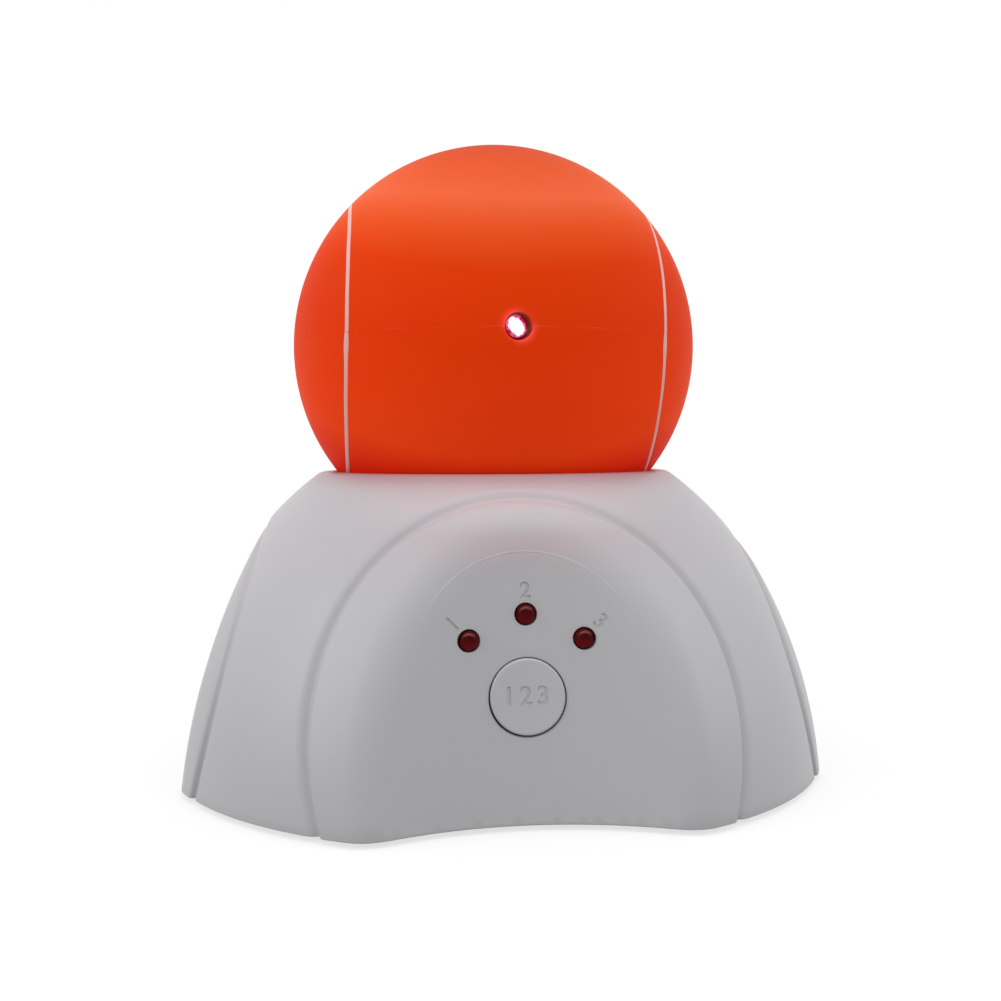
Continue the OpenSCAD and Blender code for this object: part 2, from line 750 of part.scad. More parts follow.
module controller_chip() {
    color("black") translate([-5, -board_front - 1.6, shell_z + board_bottom + 2.5]) cube([10, 1.6, 4]);
}

module board_screws() {
    color("silver") for (x = [-board_screw_x, board_screw_x], h = board_screw_rows)
        translate([x, -board_back, shell_z + h])
            rotate([90, 0, 0]) screw(board_screw_d, board_t + board_thread);
}

// A spur gear with involute teeth
module spur_gear(teeth, t, turn, bore) {
    pressure = 25;
    pitch_r = tooth_size * teeth / 2;
    core_r = pitch_r * cos(pressure);
    tip_r = pitch_r + 0.8 * tooth_size;
    root_r = pitch_r - tooth_size;
    start_r = max(core_r, root_r + 0.01);
    function spread(r) = let (a = acos(min(core_r / r, 1))) tan(a) * 180 / PI - a;
    half = 90 / teeth - backlash / 2 / pitch_r * 180 / PI + spread(pitch_r);
    function flank(r) = half - spread(r);
    radii = [for (i = [0 : 3]) start_r + (tip_r - start_r) * i / 3];
    outline = [for (k = [0 : teeth - 1])
        let (middle = 360 * k / teeth + turn)
        each concat(
            [root_r * [cos(middle - flank(start_r)), sin(middle - flank(start_r))]],
            [for (r = radii) r * [cos(middle - flank(r)), sin(middle - flank(r))]],
            [for (i = [3 : -1 : 0]) radii[i] * [cos(middle + flank(radii[i])), sin(middle + flank(radii[i]))]],
            [root_r * [cos(middle + flank(start_r)), sin(middle + flank(start_r))]])];
    linear_extrude(t) difference() {
        polygon(outline);
        circle(r = bore);
    }
}

// A flat plate through a list of points, with a round pad at each and slimmer edges between them
module padded_plate(points, pad_r, edge) {
    polygon(points);
    for (i = [0 : len(points) - 1]) {
        a = points[i];
        b = points[(i + 1) % len(points)];
        translate(a) {
            circle(r = pad_r);
            rotate(atan2(b[1] - a[1], b[0] - a[0])) translate([0, -edge]) square([norm(b - a), 2 * edge]);
        }
    }
}

// The deck carries the gear train below it and the brushes on top
module mechanism_deck() {
    color("lightgray") difference() {
        translate([0, 0, deck_z]) linear_extrude(deck_t) difference() {
            circle(r = deck_r);
            translate([-deck_r, -deck_front - deck_r]) square([2 * deck_r, deck_r]);
            circle(r = shaft_d / 2 + 2);
            for (turn = [45 : 90 : 315])
                rotate(turn) translate([0, -deck_boss_reach]) circle(d = deck_screw_d + 2 * screw_gap);
            for (q = gear_posts) translate(q) circle(d = gear_screw_d + 2 * screw_gap);
            // Openings that save plastic at the back
            for (turn = [150, 180, 210]) rotate(turn) translate([0, -30]) circle(r = 5);
        }
        for (q = [first_at, second_at])
            translate([q[0], q[1], deck_z - over]) cylinder(d = pin_d, h = deck_t / 2 + over);
    }
}

module deck_screws() {
    color("silver") for (turn = [45 : 90 : 315])
        on_circle(deck_boss_reach, turn) translate([0, 0, deck_z]) screw(deck_screw_d, deck_t + deck_thread);
}

module gear_plate() {
    color("lightgray") difference() {
        union() {
            translate([0, 0, gear_plate_z]) linear_extrude(gear_plate_t) {
                padded_plate(gear_posts, gear_pad_r, gear_plate_edge);
                translate(motor_at) circle(r = 10);
                translate(first_at) circle(r = 6);
            }
            for (q = gear_posts)
                translate([q[0], q[1], gear_plate_z]) cylinder(d = gear_post_d, h = deck_z - gear_plate_z);
        }
        for (q = gear_posts)
            translate([q[0], q[1], deck_z - gear_thread - thread_room])
                cylinder(d = gear_screw_d + 2 * thread_gap, h = gear_thread + thread_room + over);
        for (q = [first_at, second_at])
            translate([q[0], q[1], gear_plate_z - over]) cylinder(d = pin_d, h = gear_plate_t + 2 * over);
        translate([0, 0, gear_plate_z - over])
            cylinder(d = shaft_d + 2 * running_gap, h = gear_plate_t + 2 * over);
        translate([motor_at[0], motor_at[1], gear_plate_z - over])
            cylinder(r = motor_boss_r + seat, h = gear_plate_t + 2 * over);
        motor_screw_places()
            translate([0, 0, gear_plate_z - over])
                cylinder(d = pin_d + 2 * screw_gap, h = gear_plate_t + 2 * over);
    }
}
motor_boss_r = 3;
motor_screw_reach = 6;

module motor_screw_places() {
    translate([motor_at[0], motor_at[1], 0])
        for (side = [90, 270])
            rotate([0, 0, motor_turn + side]) translate([motor_screw_reach, 0, 0]) children();
}

module gear_plate_screws() {
    color("silver") for (q = gear_posts)
        translate([q[0], q[1], deck_top]) mirror([0, 0, 1]) screw(gear_screw_d, deck_t + gear_thread);
}

// A flat round motor with its shaft up
module drive_motor() {
    cap_t = 2.2;
    color("silver") translate([motor_at[0], motor_at[1], 0]) difference() {
        union() {
            translate([0, 0, gear_plate_z - motor_len + cap_t])
                cylinder(d = motor_d, h = motor_len - cap_t);
            translate([0, 0, gear_plate_z - over]) cylinder(r = motor_boss_r, h = gear_plate_t + over - end_play);
        }
        translate([0, 0, gear_plate_z - 4])
            cylinder(d = pin_d + 2 * running_gap, h = 4 + gear_plate_t + over);
        for (side = [90, 270])
            rotate([0, 0, motor_turn + side]) translate([motor_screw_reach, 0, gear_plate_z - 3])
                cylinder(d = pin_d + 2 * thread_gap, h = 3 + over);
    }
}

module motor_end_cap() {
    color("white") translate([motor_at[0], motor_at[1], gear_plate_z - motor_len]) {
        cylinder(d = motor_d - 1.5, h = 2.2);
        translate([0, 0, -0.8]) cylinder(r = motor_boss_r, h = 1);
    }
}

module motor_screws() {
    color("silver") motor_screw_places()
        translate([0, 0, gear_plate_top]) mirror([0, 0, 1]) {
            translate([0, 0, -0.9]) cylinder(d = pin_d + 1.6, h = 0.9);
            cylinder(d = pin_d, h = gear_plate_t + 2.5);
        }
}

module motor_shaft() {
    color("silver") translate([motor_at[0], motor_at[1], gear_plate_z - 4 + end_play])
        cylinder(d = pin_d, h = level_c + gear_t - gear_plate_z + 4 - end_play);
}

module motor_pinion() {
    color("gold") translate([motor_at[0], motor_at[1], level_c])
        spur_gear(motor_pinion_teeth, gear_t, motor_pinion_turn, pin_d / 2);
}

// The first gear: its wheel meets the motor's pinion, its own pinion the second gear
module first_reduction_gear() {
    bore = pin_d / 2 + running_gap;
    color("white") translate([first_at[0], first_at[1], 0]) {
        translate([0, 0, level_c]) spur_gear(first_wheel_teeth, gear_t, 0, bore);
        translate([0, 0, level_c + gear_t])
            spur_gear(first_pinion_teeth, gear_gap + gear_t, first_pinion_turn, bore);
        for (z = [[gear_plate_top + end_play, level_c], [level_b + gear_t, deck_z - end_play]])
            translate([0, 0, z[0]]) linear_extrude(z[1] - z[0]) difference() {
                circle(r = gear_hub_r);
                circle(r = bore);
            }
    }
}

// The second gear: its wheel meets the first gear's pinion, its own pinion the output gear
module second_reduction_gear() {
    bore = pin_d / 2 + running_gap;
    color("white") translate([second_at[0], second_at[1], 0]) {
        translate([0, 0, level_b]) spur_gear(second_wheel_teeth, gear_t, 0, bore);
        translate([0, 0, level_b + gear_t])
            spur_gear(second_pinion_teeth, gear_gap + gear_t, second_pinion_turn, bore);
        for (z = [[gear_plate_top + end_play, level_b], [level_a + gear_t, deck_z - end_play]])
            translate([0, 0, z[0]]) linear_extrude(z[1] - z[0]) difference() {
                circle(r = gear_hub_r);
                circle(r = bore);
            }
    }
}

module gear_pin(q) {
    translate([q[0], q[1], gear_plate_z]) cylinder(d = pin_d, h = deck_z + deck_t / 2 - gear_plate_z);
}
module first_gear_pin() color("silver") gear_pin(first_at);
module second_gear_pin() color("silver") gear_pin(second_at);

module output_gear() {
    color("white") {
        translate([0, 0, level_a]) spur_gear(output_teeth, gear_t, 0, shaft_d / 2);
        translate([0, 0, level_a - 1.2]) linear_extrude(1.2) difference() {
            circle(r = shaft_d / 2 + 2);
            circle(r = shaft_d / 2);
        }
    }
}

clip_t = 0.6;
clip_drop = 0.4;
module output_shaft() {
    bottom = gear_plate_z - clip_drop - clip_t - 0.8;
    color("silver") difference() {
        translate([0, 0, bottom]) cylinder(d = shaft_d, h = floor_z - 1 - bottom);
        translate([0, 0, gear_plate_z - clip_drop - clip_t]) linear_extrude(clip_t) difference() {
            circle(d = shaft_d + over);
            circle(d = shaft_d - 0.8);
        }
    }
}

module shaft_clip() {
    color("silver") translate([0, 0, gear_plate_z - clip_drop - clip_t + 0.05])
        linear_extrude(clip_t - 0.1) difference() {
            circle(r = shaft_d / 2 + 1.6);
            circle(d = shaft_d - 0.7);
            translate([0, -1.2]) square([shaft_d, 2.4]);
        }
}

module shaft_bush() {
    color("peru") rotate_extrude() polygon([[shaft_d / 2 + running_gap, deck_z], [shaft_d / 2 + 2, deck_z],
        [shaft_d / 2 + 2, deck_top], [hub_r, deck_top], [hub_r, deck_top + 1],
        [shaft_d / 2 + running_gap, deck_top + 1]]);
}

// The brushes are bent leaves that run along X under the slip rings
brush_block_x = 11;
module brush_holder() {
    color("black") translate([brush_block_x, track_radii[0] - 2, deck_top])
        cube([4, track_radii[1] - track_radii[0] + 4, 2]);
}
module contact_brushes() {
    tip = track_z - 0.2;
    leaf = 0.3;
    root = deck_top + 2;
    color("gold") for (r = track_radii)
        translate([0, r + 0.6, 0]) rotate([90, 0, 0]) linear_extrude(1.2)
            polygon([[brush_block_x + 3, root], [brush_block_x, root], [0, tip - leaf], [-1.5, tip - leaf - 0.5],
                [-1.5, tip - 0.5], [0, tip], [brush_block_x, root + leaf], [brush_block_x + 3, root + leaf]]);
}

module slip_ring_board() {
    color("seagreen") translate([0, 0, ring_board_z]) linear_extrude(ring_board_t) difference() {
        circle(r = ring_board_r);
        circle(r = ring_board_bore);
    }
}
module slip_ring_tracks() {
    color("gold") for (r = track_radii)
        translate([0, 0, track_z]) linear_extrude(track_t) difference() {
            circle(r = r + track_w / 2);
            circle(r = r - track_w / 2);
        }
}

module turntable() {
    color("lightgray") difference() {
        union() {
            translate([0, 0, turntable_z]) cylinder(r = turntable_r, h = turntable_t);
            translate([0, 0, turntable_z - hub_len]) cylinder(r = hub_r, h = hub_len + over);
        }
        translate([0, 0, turntable_z - hub_len - over])
            cylinder(d = shaft_d, h = floor_z - turntable_z + hub_len + over - 1);
        for (turn = turntable_screw_turns)
            on_circle(turntable_screw_reach, turn)
                translate([0, 0, turntable_z - over])
                    cylinder(d = turntable_screw_d + 2 * screw_gap, h = turntable_t + 2 * over);
        translate([wire_hole_at[0], wire_hole_at[1], turntable_z - over])
            cylinder(r = wire_hole_r, h = turntable_t + 2 * over);
    }
}
module turntable_screws() {
    color("silver") for (turn = turntable_screw_turns)
        on_circle(turntable_screw_reach, turn)
            translate([0, 0, turntable_z]) screw(turntable_screw_d, turntable_t + turntable_thread);
}

// The laser's own frame: origin where its axis leaves the ball, +Y inwards
module along_laser() {
    translate([0, -sqrt(ball_r * ball_r - seam_rise * seam_rise), seam_z])
        rotate([laser_tilt, 0, 0]) children();
}
// A rod in the laser's frame
module laser_rod(r, from, to) translate([0, to, 0]) rotate([90, 0, 0]) cylinder(r = r, h = to - from);

cradle_w = 18;
cradle_from = 8;
cradle_to = 13;
clamp_h = 4.6;
clamp_screw_x = 6;
clamp_screw_d = 2;

// A ring about the X axis in the ball's skin, for a groove or for what fills it
module line_ring(w, inside, outside) {
    lean = asin(line_offset / ball_r);
    for (side = [-1, 1])
        translate([0, 0, ball_z]) rotate([0, 90 * side, 0])
            rotate_extrude()
                rotate(lean) translate([ball_r - inside, -w / 2]) square([inside + outside, w]);
}

module upper_half() translate([-ball_d, -ball_d, seam_z]) cube([2 * ball_d, 2 * ball_d, ball_d]);
module lower_half() translate([-ball_d, -ball_d, seam_z - ball_d]) cube([2 * ball_d, 2 * ball_d, ball_d]);

module ball_lower_shell() {
    inner_r = ball_r - ball_wall;
    lip_r = sqrt(inner_r * inner_r - seam_rise * seam_rise);
    color("orangered") difference() {
        union() {
            difference() {
                intersection() {
                    translate([0, 0, ball_z]) sphere(r = ball_r);
                    lower_half();
                    translate([-ball_r, -ball_r, floor_z]) cube([ball_d, ball_d, ball_d]);
                }
                difference() {
                    translate([0, 0, ball_z]) sphere(r = inner_r);
                    translate([-ball_r, -ball_r, floor_z - over])
                        cube([ball_d, ball_d, ball_wall + over]);
                }
            }
            // Lip that the upper shell slides over
            translate([0, 0, seam_z - lip_h]) linear_extrude(2 * lip_h) difference() {
                circle(r = lip_r + ball_wall / 2 - seat);
                circle(r = lip_r - ball_wall / 4);
            }
            intersection() {
                translate([0, 0, ball_z]) sphere(r = ball_r - ball_wall / 2);
                union() {
                    for (turn = column_turns)
                        on_circle(column_reach, turn)
                            translate([0, 0, floor_z]) cylinder(d = column_d, h = seam_z - floor_z);
                    for (turn = turntable_screw_turns)
                        on_circle(turntable_screw_reach, turn)
                            translate([0, 0, floor_z]) cylinder(d = turntable_boss_d, h = turntable_boss_h);
                    along_laser() translate([-cradle_w / 2, cradle_from, -ball_r])
                        cube([cradle_w, cradle_to - cradle_from, ball_r - seat]);
                }
            }
        }
        for (turn = column_turns)
            on_circle(column_reach, turn) {
                translate([0, 0, floor_z - over])
                    cylinder(d = column_screw_d + head_extra + 2 * screw_gap,
                        h = seam_z - floor_z - column_head_depth + over);
                translate([0, 0, floor_z]) cylinder(d = column_screw_d + 2 * screw_gap, h = seam_z - floor_z + over);
            }
        for (turn = turntable_screw_turns)
            on_circle(turntable_screw_reach, turn)
                translate([0, 0, floor_z - over])
                    cylinder(d = turntable_screw_d + 2 * thread_gap, h = turntable_thread + thread_room + over);
        translate([wire_hole_at[0], wire_hole_at[1], floor_z - over])
            cylinder(r = wire_hole_r, h = ball_wall + 2 * over);
        along_laser() {
            laser_rod(laser_hole_d / 2, -over, ball_wall + 2 * over);
            laser_rod(laser_d / 2 + seat, laser_recess - seat, cradle_to + over);
            for (x = [-clamp_screw_x, clamp_screw_x])
                translate([x, (cradle_from + cradle_to) / 2, -clamp_thread - thread_room])
                    cylinder(d = clamp_screw_d + 2 * thread_gap, h = clamp_thread + thread_room + over);
        }
        line_ring(line_w, line_depth, over);
    }
}

module ball_upper_shell() {
    inner_r = ball_r - ball_wall;
    lip_r = sqrt(inner_r * inner_r - seam_rise * seam_rise);
    color("orangered") difference() {
        union() {
            difference() {
                intersection() {
                    translate([0, 0, ball_z]) sphere(r = ball_r);
                    upper_half();
                }
                translate([0, 0, ball_z]) sphere(r = inner_r);
            }
            intersection() {
                translate([0, 0, ball_z]) sphere(r = ball_r - ball_wall / 2);
                for (turn = column_turns)
                    on_circle(column_reach, turn)
                        translate([0, 0, seam_z]) cylinder(d = column_d, h = ball_r);
            }
        }
        // Step that takes the lower shell's lip
        translate([0, 0, seam_z - over])
            cylinder(r = lip_r + ball_wall / 2, h = lip_h + seat + over);
        for (turn = column_turns)
            on_circle(column_reach, turn)
                translate([0, 0, seam_z - over])
                    cylinder(d = column_screw_d + 2 * thread_gap, h = column_thread + thread_room + over);
        along_laser() {
            laser_rod(laser_hole_d / 2, -over, ball_wall + 2 * over);
            laser_rod(laser_d / 2 + seat, laser_recess - seat, cradle_to + over);
        }
        line_ring(line_w, line_depth, over);
    }
}

module ball_screws() {
    color("silver") for (turn = column_turns)
        on_circle(column_reach, turn)
            translate([0, 0, seam_z - column_head_depth])
                screw(column_screw_d, column_head_depth + column_thread);
}

line_gap = 0.03;
module lower_line_fill() {
    color("white") intersection() {
        line_ring(line_w - 2 * line_gap, line_depth - line_gap, line_proud);
        lower_half();
    }
}
module upper_line_fill() {
    color("white") intersection() {
        line_ring(line_w - 2 * line_gap, line_depth - line_gap, line_proud);
        upper_half();
    }
}

lens_seat = 5;
module laser_barrel() {
    color("goldenrod") along_laser() difference() {
        laser_rod(laser_d / 2, laser_recess, laser_recess + laser_len);
        laser_rod(lens_d / 2, laser_recess - over, lens_seat + 2);
    }
}
module laser_lens() {
    bulge = 3;
    color("pink") along_laser() intersection() {
        laser_rod(lens_d / 2 - running_gap, lens_seat - 0.6, lens_seat + 1.8);
        translate([0, lens_seat - 0.6 + bulge, 0]) sphere(r = bulge);
    }
}
module laser_board() {
    color("seagreen") along_laser()
        laser_rod(laser_d / 2 - 0.2, laser_recess + laser_len, laser_recess + laser_len + 1);
}
module laser_clamp() {
    color("lightgray") along_laser() difference() {
        translate([-cradle_w / 2, cradle_from, seat]) cube([cradle_w, cradle_to - cradle_from, clamp_h]);
        laser_rod(laser_d / 2 + running_gap, cradle_from - over, cradle_to + over);
        for (x = [-clamp_screw_x, clamp_screw_x])
            translate([x, (cradle_from + cradle_to) / 2, 0])
                cylinder(d = clamp_screw_d + 2 * screw_gap, h = clamp_h + over);
    }
}
module clamp_screws() {
    color("silver") along_laser() for (x = [-clamp_screw_x, clamp_screw_x])
        translate([x, (cradle_from + cradle_to) / 2, clamp_h + seat])
            mirror([0, 0, 1]) screw(clamp_screw_d, clamp_h + clamp_thread);
}

base_shell();
base_plate();
base_plate_screws();
rubber_feet();
battery_door();
aa_cell_1();
aa_cell_2();
aa_cell_3();
contact_springs();
contact_plates();
mode_button();
tact_switch();
switch_plunger();
led_left();
led_centre();
led_right();
control_board();
controller_chip();
board_screws();
mechanism_deck();
deck_screws();
gear_plate();
gear_plate_screws();
drive_motor();
motor_end_cap();
motor_screws();
motor_shaft();
motor_pinion();
first_reduction_gear();
second_reduction_gear();
first_gear_pin();
second_gear_pin();
output_gear();
output_shaft();
shaft_clip();
shaft_bush();
brush_holder();
contact_brushes();
slip_ring_board();
slip_ring_tracks();
turntable();
turntable_screws();
ball_lower_shell();
ball_upper_shell();
ball_screws();
lower_line_fill();
upper_line_fill();
laser_barrel();
laser_lens();
laser_board();
laser_clamp();
clamp_screws();
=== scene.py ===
# %% [markdown]
# # An automatic cat teaser ball
# The toy is a moulded white dome with an orange ball on top. A laser shines out of the ball,
# and the ball turns. The construction is already modelled as exact solids. This lesson loads
# those solids as a fixed frame and gives the toy its finish: fine meshes for the parts whose
# curves show, and a material for every piece.

# %% Load the frame
import json
import math

import bmesh
import bpy
import numpy as np
from mathutils import Matrix, Vector
from mathutils.geometry import delaunay_2d_cdt


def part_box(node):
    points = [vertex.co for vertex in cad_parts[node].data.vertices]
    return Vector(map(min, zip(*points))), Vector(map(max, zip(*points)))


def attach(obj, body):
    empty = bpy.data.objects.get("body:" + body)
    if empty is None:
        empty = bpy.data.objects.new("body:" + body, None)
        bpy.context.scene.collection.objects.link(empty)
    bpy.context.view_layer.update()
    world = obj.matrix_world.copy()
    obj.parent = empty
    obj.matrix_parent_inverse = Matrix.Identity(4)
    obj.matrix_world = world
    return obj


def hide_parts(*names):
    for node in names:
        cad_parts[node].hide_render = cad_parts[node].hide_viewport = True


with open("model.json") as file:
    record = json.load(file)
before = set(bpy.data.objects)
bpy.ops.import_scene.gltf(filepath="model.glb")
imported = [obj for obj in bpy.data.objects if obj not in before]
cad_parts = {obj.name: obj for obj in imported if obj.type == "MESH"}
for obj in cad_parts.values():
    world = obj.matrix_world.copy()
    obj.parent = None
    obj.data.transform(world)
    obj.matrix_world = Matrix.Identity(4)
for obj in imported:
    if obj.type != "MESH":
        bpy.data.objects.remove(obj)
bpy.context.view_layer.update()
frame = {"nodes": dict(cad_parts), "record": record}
MM = 0.001


def in_scene(name, data):
    """Make an object from its data and link it to the scene."""
    made = bpy.data.objects.new(name, data)
    bpy.context.scene.collection.objects.link(made)
    return made


# %% [markdown]
# ## Sizes
# A mesh that stands for a solid has to follow the same rule as the solid. The few driving
# sizes of the dome and of its four arch panels are repeated here in millimetres, and places
# that the frame can tell, such as the ball's centre, are read from the frame.

# %% Driving sizes in millimetres
base_h = 60.2
base_r = 67.65
shell_z = 1.0
wall = 2.2
rim_w = 2.6
ball_gap = 0.8
dome_drop = 8.2
dome_power = 2.07
front_panel = dict(ledge=base_r - 11.5, ledge_lean=15.5, face=base_r - 12.9, face_lean=8.1, hollow=58.0)
side_panel = dict(ledge=base_r - 8.1, ledge_lean=13.7, face=base_r - 9.1, face_lean=11.0, hollow=50.0)
panels = [(0, front_panel), (90, side_panel), (180, front_panel), (270, side_panel)]
ledge_w = 1.8
panel_raise = 0.3
shoulder = 4.0

upper_low, upper_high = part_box("ball_upper_shell")
ball_top = upper_high / MM
ball_r = round((ball_top.x - upper_low.x / MM) / 2, 1)
ball_z = ball_top.z - ball_r
seam_z = upper_low.z / MM
seam_rise = seam_z - ball_z
seam_r = math.sqrt(ball_r**2 - seam_rise**2)
rim_z = shell_z + base_h
ball_rise = ball_z - rim_z
opening_r = math.sqrt(ball_r**2 - ball_rise**2) + ball_gap
rim_r = opening_r + rim_w
print("ball radius", ball_r, "centre", round(ball_z, 2), "seam", round(seam_z, 2), "rim", round(rim_r, 2))

# %% [markdown]
# ## Camera
# The camera was found by fitting the ball's outline, its seam and the arch of the front panel
# to the photograph in one perspective. It stands a little to the toy's left, slightly above
# the middle, and looks down by under three degrees.

# %% Place the camera
image_px = 1001
focal_px = 1241.25
sensor_mm = 36
camera_turn = math.radians(6.3)
camera_reach = 265.83
camera_rise = 67.09
camera_pan, camera_pitch, camera_roll = 0.0051, -0.0466, -0.0043


def turned(vector, angle):
    return Matrix.Rotation(angle, 3, "Z") @ Vector(vector)


forward = Vector((math.sin(camera_pan) * math.cos(camera_pitch),
                  math.cos(camera_pan) * math.cos(camera_pitch), math.sin(camera_pitch)))
right = Vector((math.cos(camera_pan), -math.sin(camera_pan), 0))
up = right.cross(forward)
camera_right = math.cos(camera_roll) * right + math.sin(camera_roll) * up
camera_up = math.cos(camera_roll) * up - math.sin(camera_roll) * right

camera = in_scene("camera", bpy.data.cameras.new("camera"))
camera.data.sensor_width = sensor_mm
camera.data.lens = focal_px / image_px * sensor_mm
camera.data.clip_start = 0.01
axes = [turned(a, -camera_turn) for a in (camera_right, camera_up, -forward)]
stand = Matrix.Translation(turned((0, -camera_reach, camera_rise), -camera_turn) * MM)
camera.matrix_world = stand @ Matrix(axes).transposed().to_4x4()
bpy.context.scene.camera = camera
print("lens", round(camera.data.lens, 2), "mm at", [round(c / MM, 1) for c in camera.location])

# %% [markdown]
# ## A language for node graphs
# Node graphs are easier to read as sums and products than as a heap of Math nodes. A small
# class wraps a node's output, so that `grain * 0.2 + 0.4` adds the two Math nodes by itself.


# %% Wrap sockets
class Link:
    """One output of a node, usable in arithmetic."""

    def __init__(self, graph, socket):
        self.graph, self.socket = graph, socket

    def math(self, operation, *operands):
        return self.graph.node("ShaderNodeMath", {"operation": operation}, dict(enumerate(operands)))

    def __add__(self, other):
        return self.math("ADD", self, other)

    def __sub__(self, other):
        return self.math("SUBTRACT", self, other)

    def __rsub__(self, other):
        return self.math("SUBTRACT", other, self)

    def __mul__(self, other):
        return self.math("MULTIPLY", self, other)

    def __truediv__(self, other):
        return self.math("DIVIDE", self, other)

    def __pow__(self, other):
        return self.math("POWER", self, other)

    __radd__, __rmul__ = __add__, __mul__

    def ramp(self, low, high):
        """0 where this is at or below low, 1 at or above high, straight in between."""
        return self.graph.node("ShaderNodeMapRange", {"clamp": True},
                               {"Value": self, "From Min": low, "From Max": high})

    def size(self):
        return self.math("ABSOLUTE", self)


# %% [markdown]
# ## Graphs that grow
# Every node that isn't arithmetic comes from one method, which first makes the node's settings
# and then links its inputs. Materials use it, and so do the Geometry Nodes trees further on.


# %% Graphs
class Graph:
    """A node tree that grows by one method."""

    def __init__(self, tree):
        self.tree = tree

    def put(self, socket, value):
        if isinstance(value, Link):
            self.tree.links.new(value.socket, socket)
        else:
            socket.default_value = value

    def node(self, kind, settings=None, inputs=None, output=0):
        made = self.tree.nodes.new(kind)
        for key, value in (settings or {}).items():
            if key == "stops":
                for stop in value[2:]:
                    made.color_ramp.elements.new(stop[0])
                for element, stop in zip(made.color_ramp.elements, value):
                    element.position, element.color = stop
            else:
                setattr(made, key, value)
        for key, value in (inputs or {}).items():
            self.put(made.inputs[key], value)
        return Link(self, made.outputs[output])


# %% [markdown]
# A material's graph adds the few things that every surface needs: noise, a mix of colours, a
# bump, and the three coordinates of a place. All of it is measured in millimetres.


# %% Shaders and colours
class Shader(Graph):
    """A material and the graph that feeds its Principled BSDF."""

    def __init__(self, name, **fixed):
        self.material = bpy.data.materials.new(name)
        self.material.use_nodes = True
        super().__init__(self.material.node_tree)
        self.bsdf = self.tree.nodes["Principled BSDF"]
        self.place = self.node("ShaderNodeTexCoord", output="Object")
        for socket, value in fixed.items():
            self.put(self.bsdf.inputs[socket.replace("_", " ")], value)

    def set(self, socket, value):
        self.put(self.bsdf.inputs[socket], value)

    def noise(self, size_mm, detail, place=None):
        """Soft noise from 0 to 1 whose blotches are about size_mm across."""
        return self.node("ShaderNodeTexNoise", None, {"Vector": place or self.place,
                                                      "Scale": 1 / (size_mm * MM), "Detail": detail})

    def mix(self, share, colour_a, colour_b):
        inputs = {0: share, 6: colour_a, 7: colour_b}
        return self.node("ShaderNodeMix", {"data_type": "RGBA"}, inputs, output=2)

    def bump(self, height, depth_mm):
        self.set("Normal", self.node("ShaderNodeBump", None,
                                     {"Height": height, "Distance": depth_mm * MM, "Strength": 1.0}))

    def axes(self):
        """The three coordinates of a place, in millimetres."""
        vector = self.node("ShaderNodeVectorMath", {"operation": "SCALE"}, {0: self.place, 3: 1 / MM})
        return [self.node("ShaderNodeSeparateXYZ", None, {0: vector}, output=name) for name in "XYZ"]


def rgb(*seen):
    """A colour as it is seen on a screen, 0 to 255, in the linear values that shaders use."""
    linear = [((c / 255 + 0.055) / 1.055) ** 2.4 if c > 10.3 else c / 255 / 12.92 for c in seen]
    return (*linear, 1.0)


# %% [markdown]
# ## Moulded plastic
# Most of the toy is injection-moulded plastic with a fine spark-eroded texture. It isn't one
# flat colour: the tone drifts a little where the melt flowed, the gloss varies with wear, and
# the texture is a bump far smaller than a millimetre. One function makes every such plastic.

# %% Moulded plastics
flow_mm, wear_mm = 38, 12


def mottled(s, dark, light, flow, speck):
    """A tone that drifts between two colours with the melt's flow and a fine speck."""
    return s.mix((flow * 0.7 + speck * 0.3).ramp(0.3, 0.7), dark, light)


def moulded(name, colour, drift, roughness, grain_mm=0.35, depth_mm=0.012):
    """Moulded plastic: base colour with a slow drift, varied gloss and a fine texture."""
    s = Shader(name, Specular_IOR_Level=0.3)
    flow, speck = s.noise(flow_mm, 3), s.noise(grain_mm, 2)
    dark = [c * (1 - drift) for c in colour[:3]] + [1]
    light = [min(c * (1 + drift), 1) for c in colour[:3]] + [1]
    s.set("Base Color", mottled(s, dark, light, flow, speck))
    s.set("Roughness", s.noise(wear_mm, 2) * 0.1 + (roughness - 0.05))
    s.bump(speck * 0.6 + s.noise(grain_mm * 3, 1) * 0.4, depth_mm)
    return s.material


button_white = moulded("button_white", rgb(190, 190, 192), 0.015, 0.45)
plate_grey = moulded("plate_grey", rgb(184, 185, 187), 0.03, 0.5)
inner_grey = moulded("inner_grey", rgb(188, 188, 186), 0.03, 0.5)
gear_cream = moulded("gear_cream", rgb(232, 228, 214), 0.02, 0.38, depth_mm=0.004)
black_plastic = moulded("black_plastic", rgb(28, 28, 30), 0.15, 0.4)
foot_rubber = moulded("foot_rubber", rgb(58, 58, 60), 0.12, 0.8, grain_mm=0.2, depth_mm=0.02)
line_paint = moulded("line_paint", rgb(240, 182, 176), 0.05, 0.5, grain_mm=0.5, depth_mm=0.02)
print("plastics:", len(bpy.data.materials))

# %% [markdown]
# ## The white shell
# The housing is the same plastic with two things more. The part of the mould that shapes the
# controls is a round insert, so that it can be changed for another model: it leaves a hair-thin
# ring on the panel, and the glint where the light grazes it is painted as a lighter line. And the
# ball's orange light on the plastic below it is painted into the colour: a painted pink reflection
# on the front panel's shoulder, and most of all on the rim, darker there with painted shade.

# %% Shell plastic with the insert's ring
insert_r, insert_z = 20.49, 27.44
ring_half_w, ring_blur = 0.05, 0.2


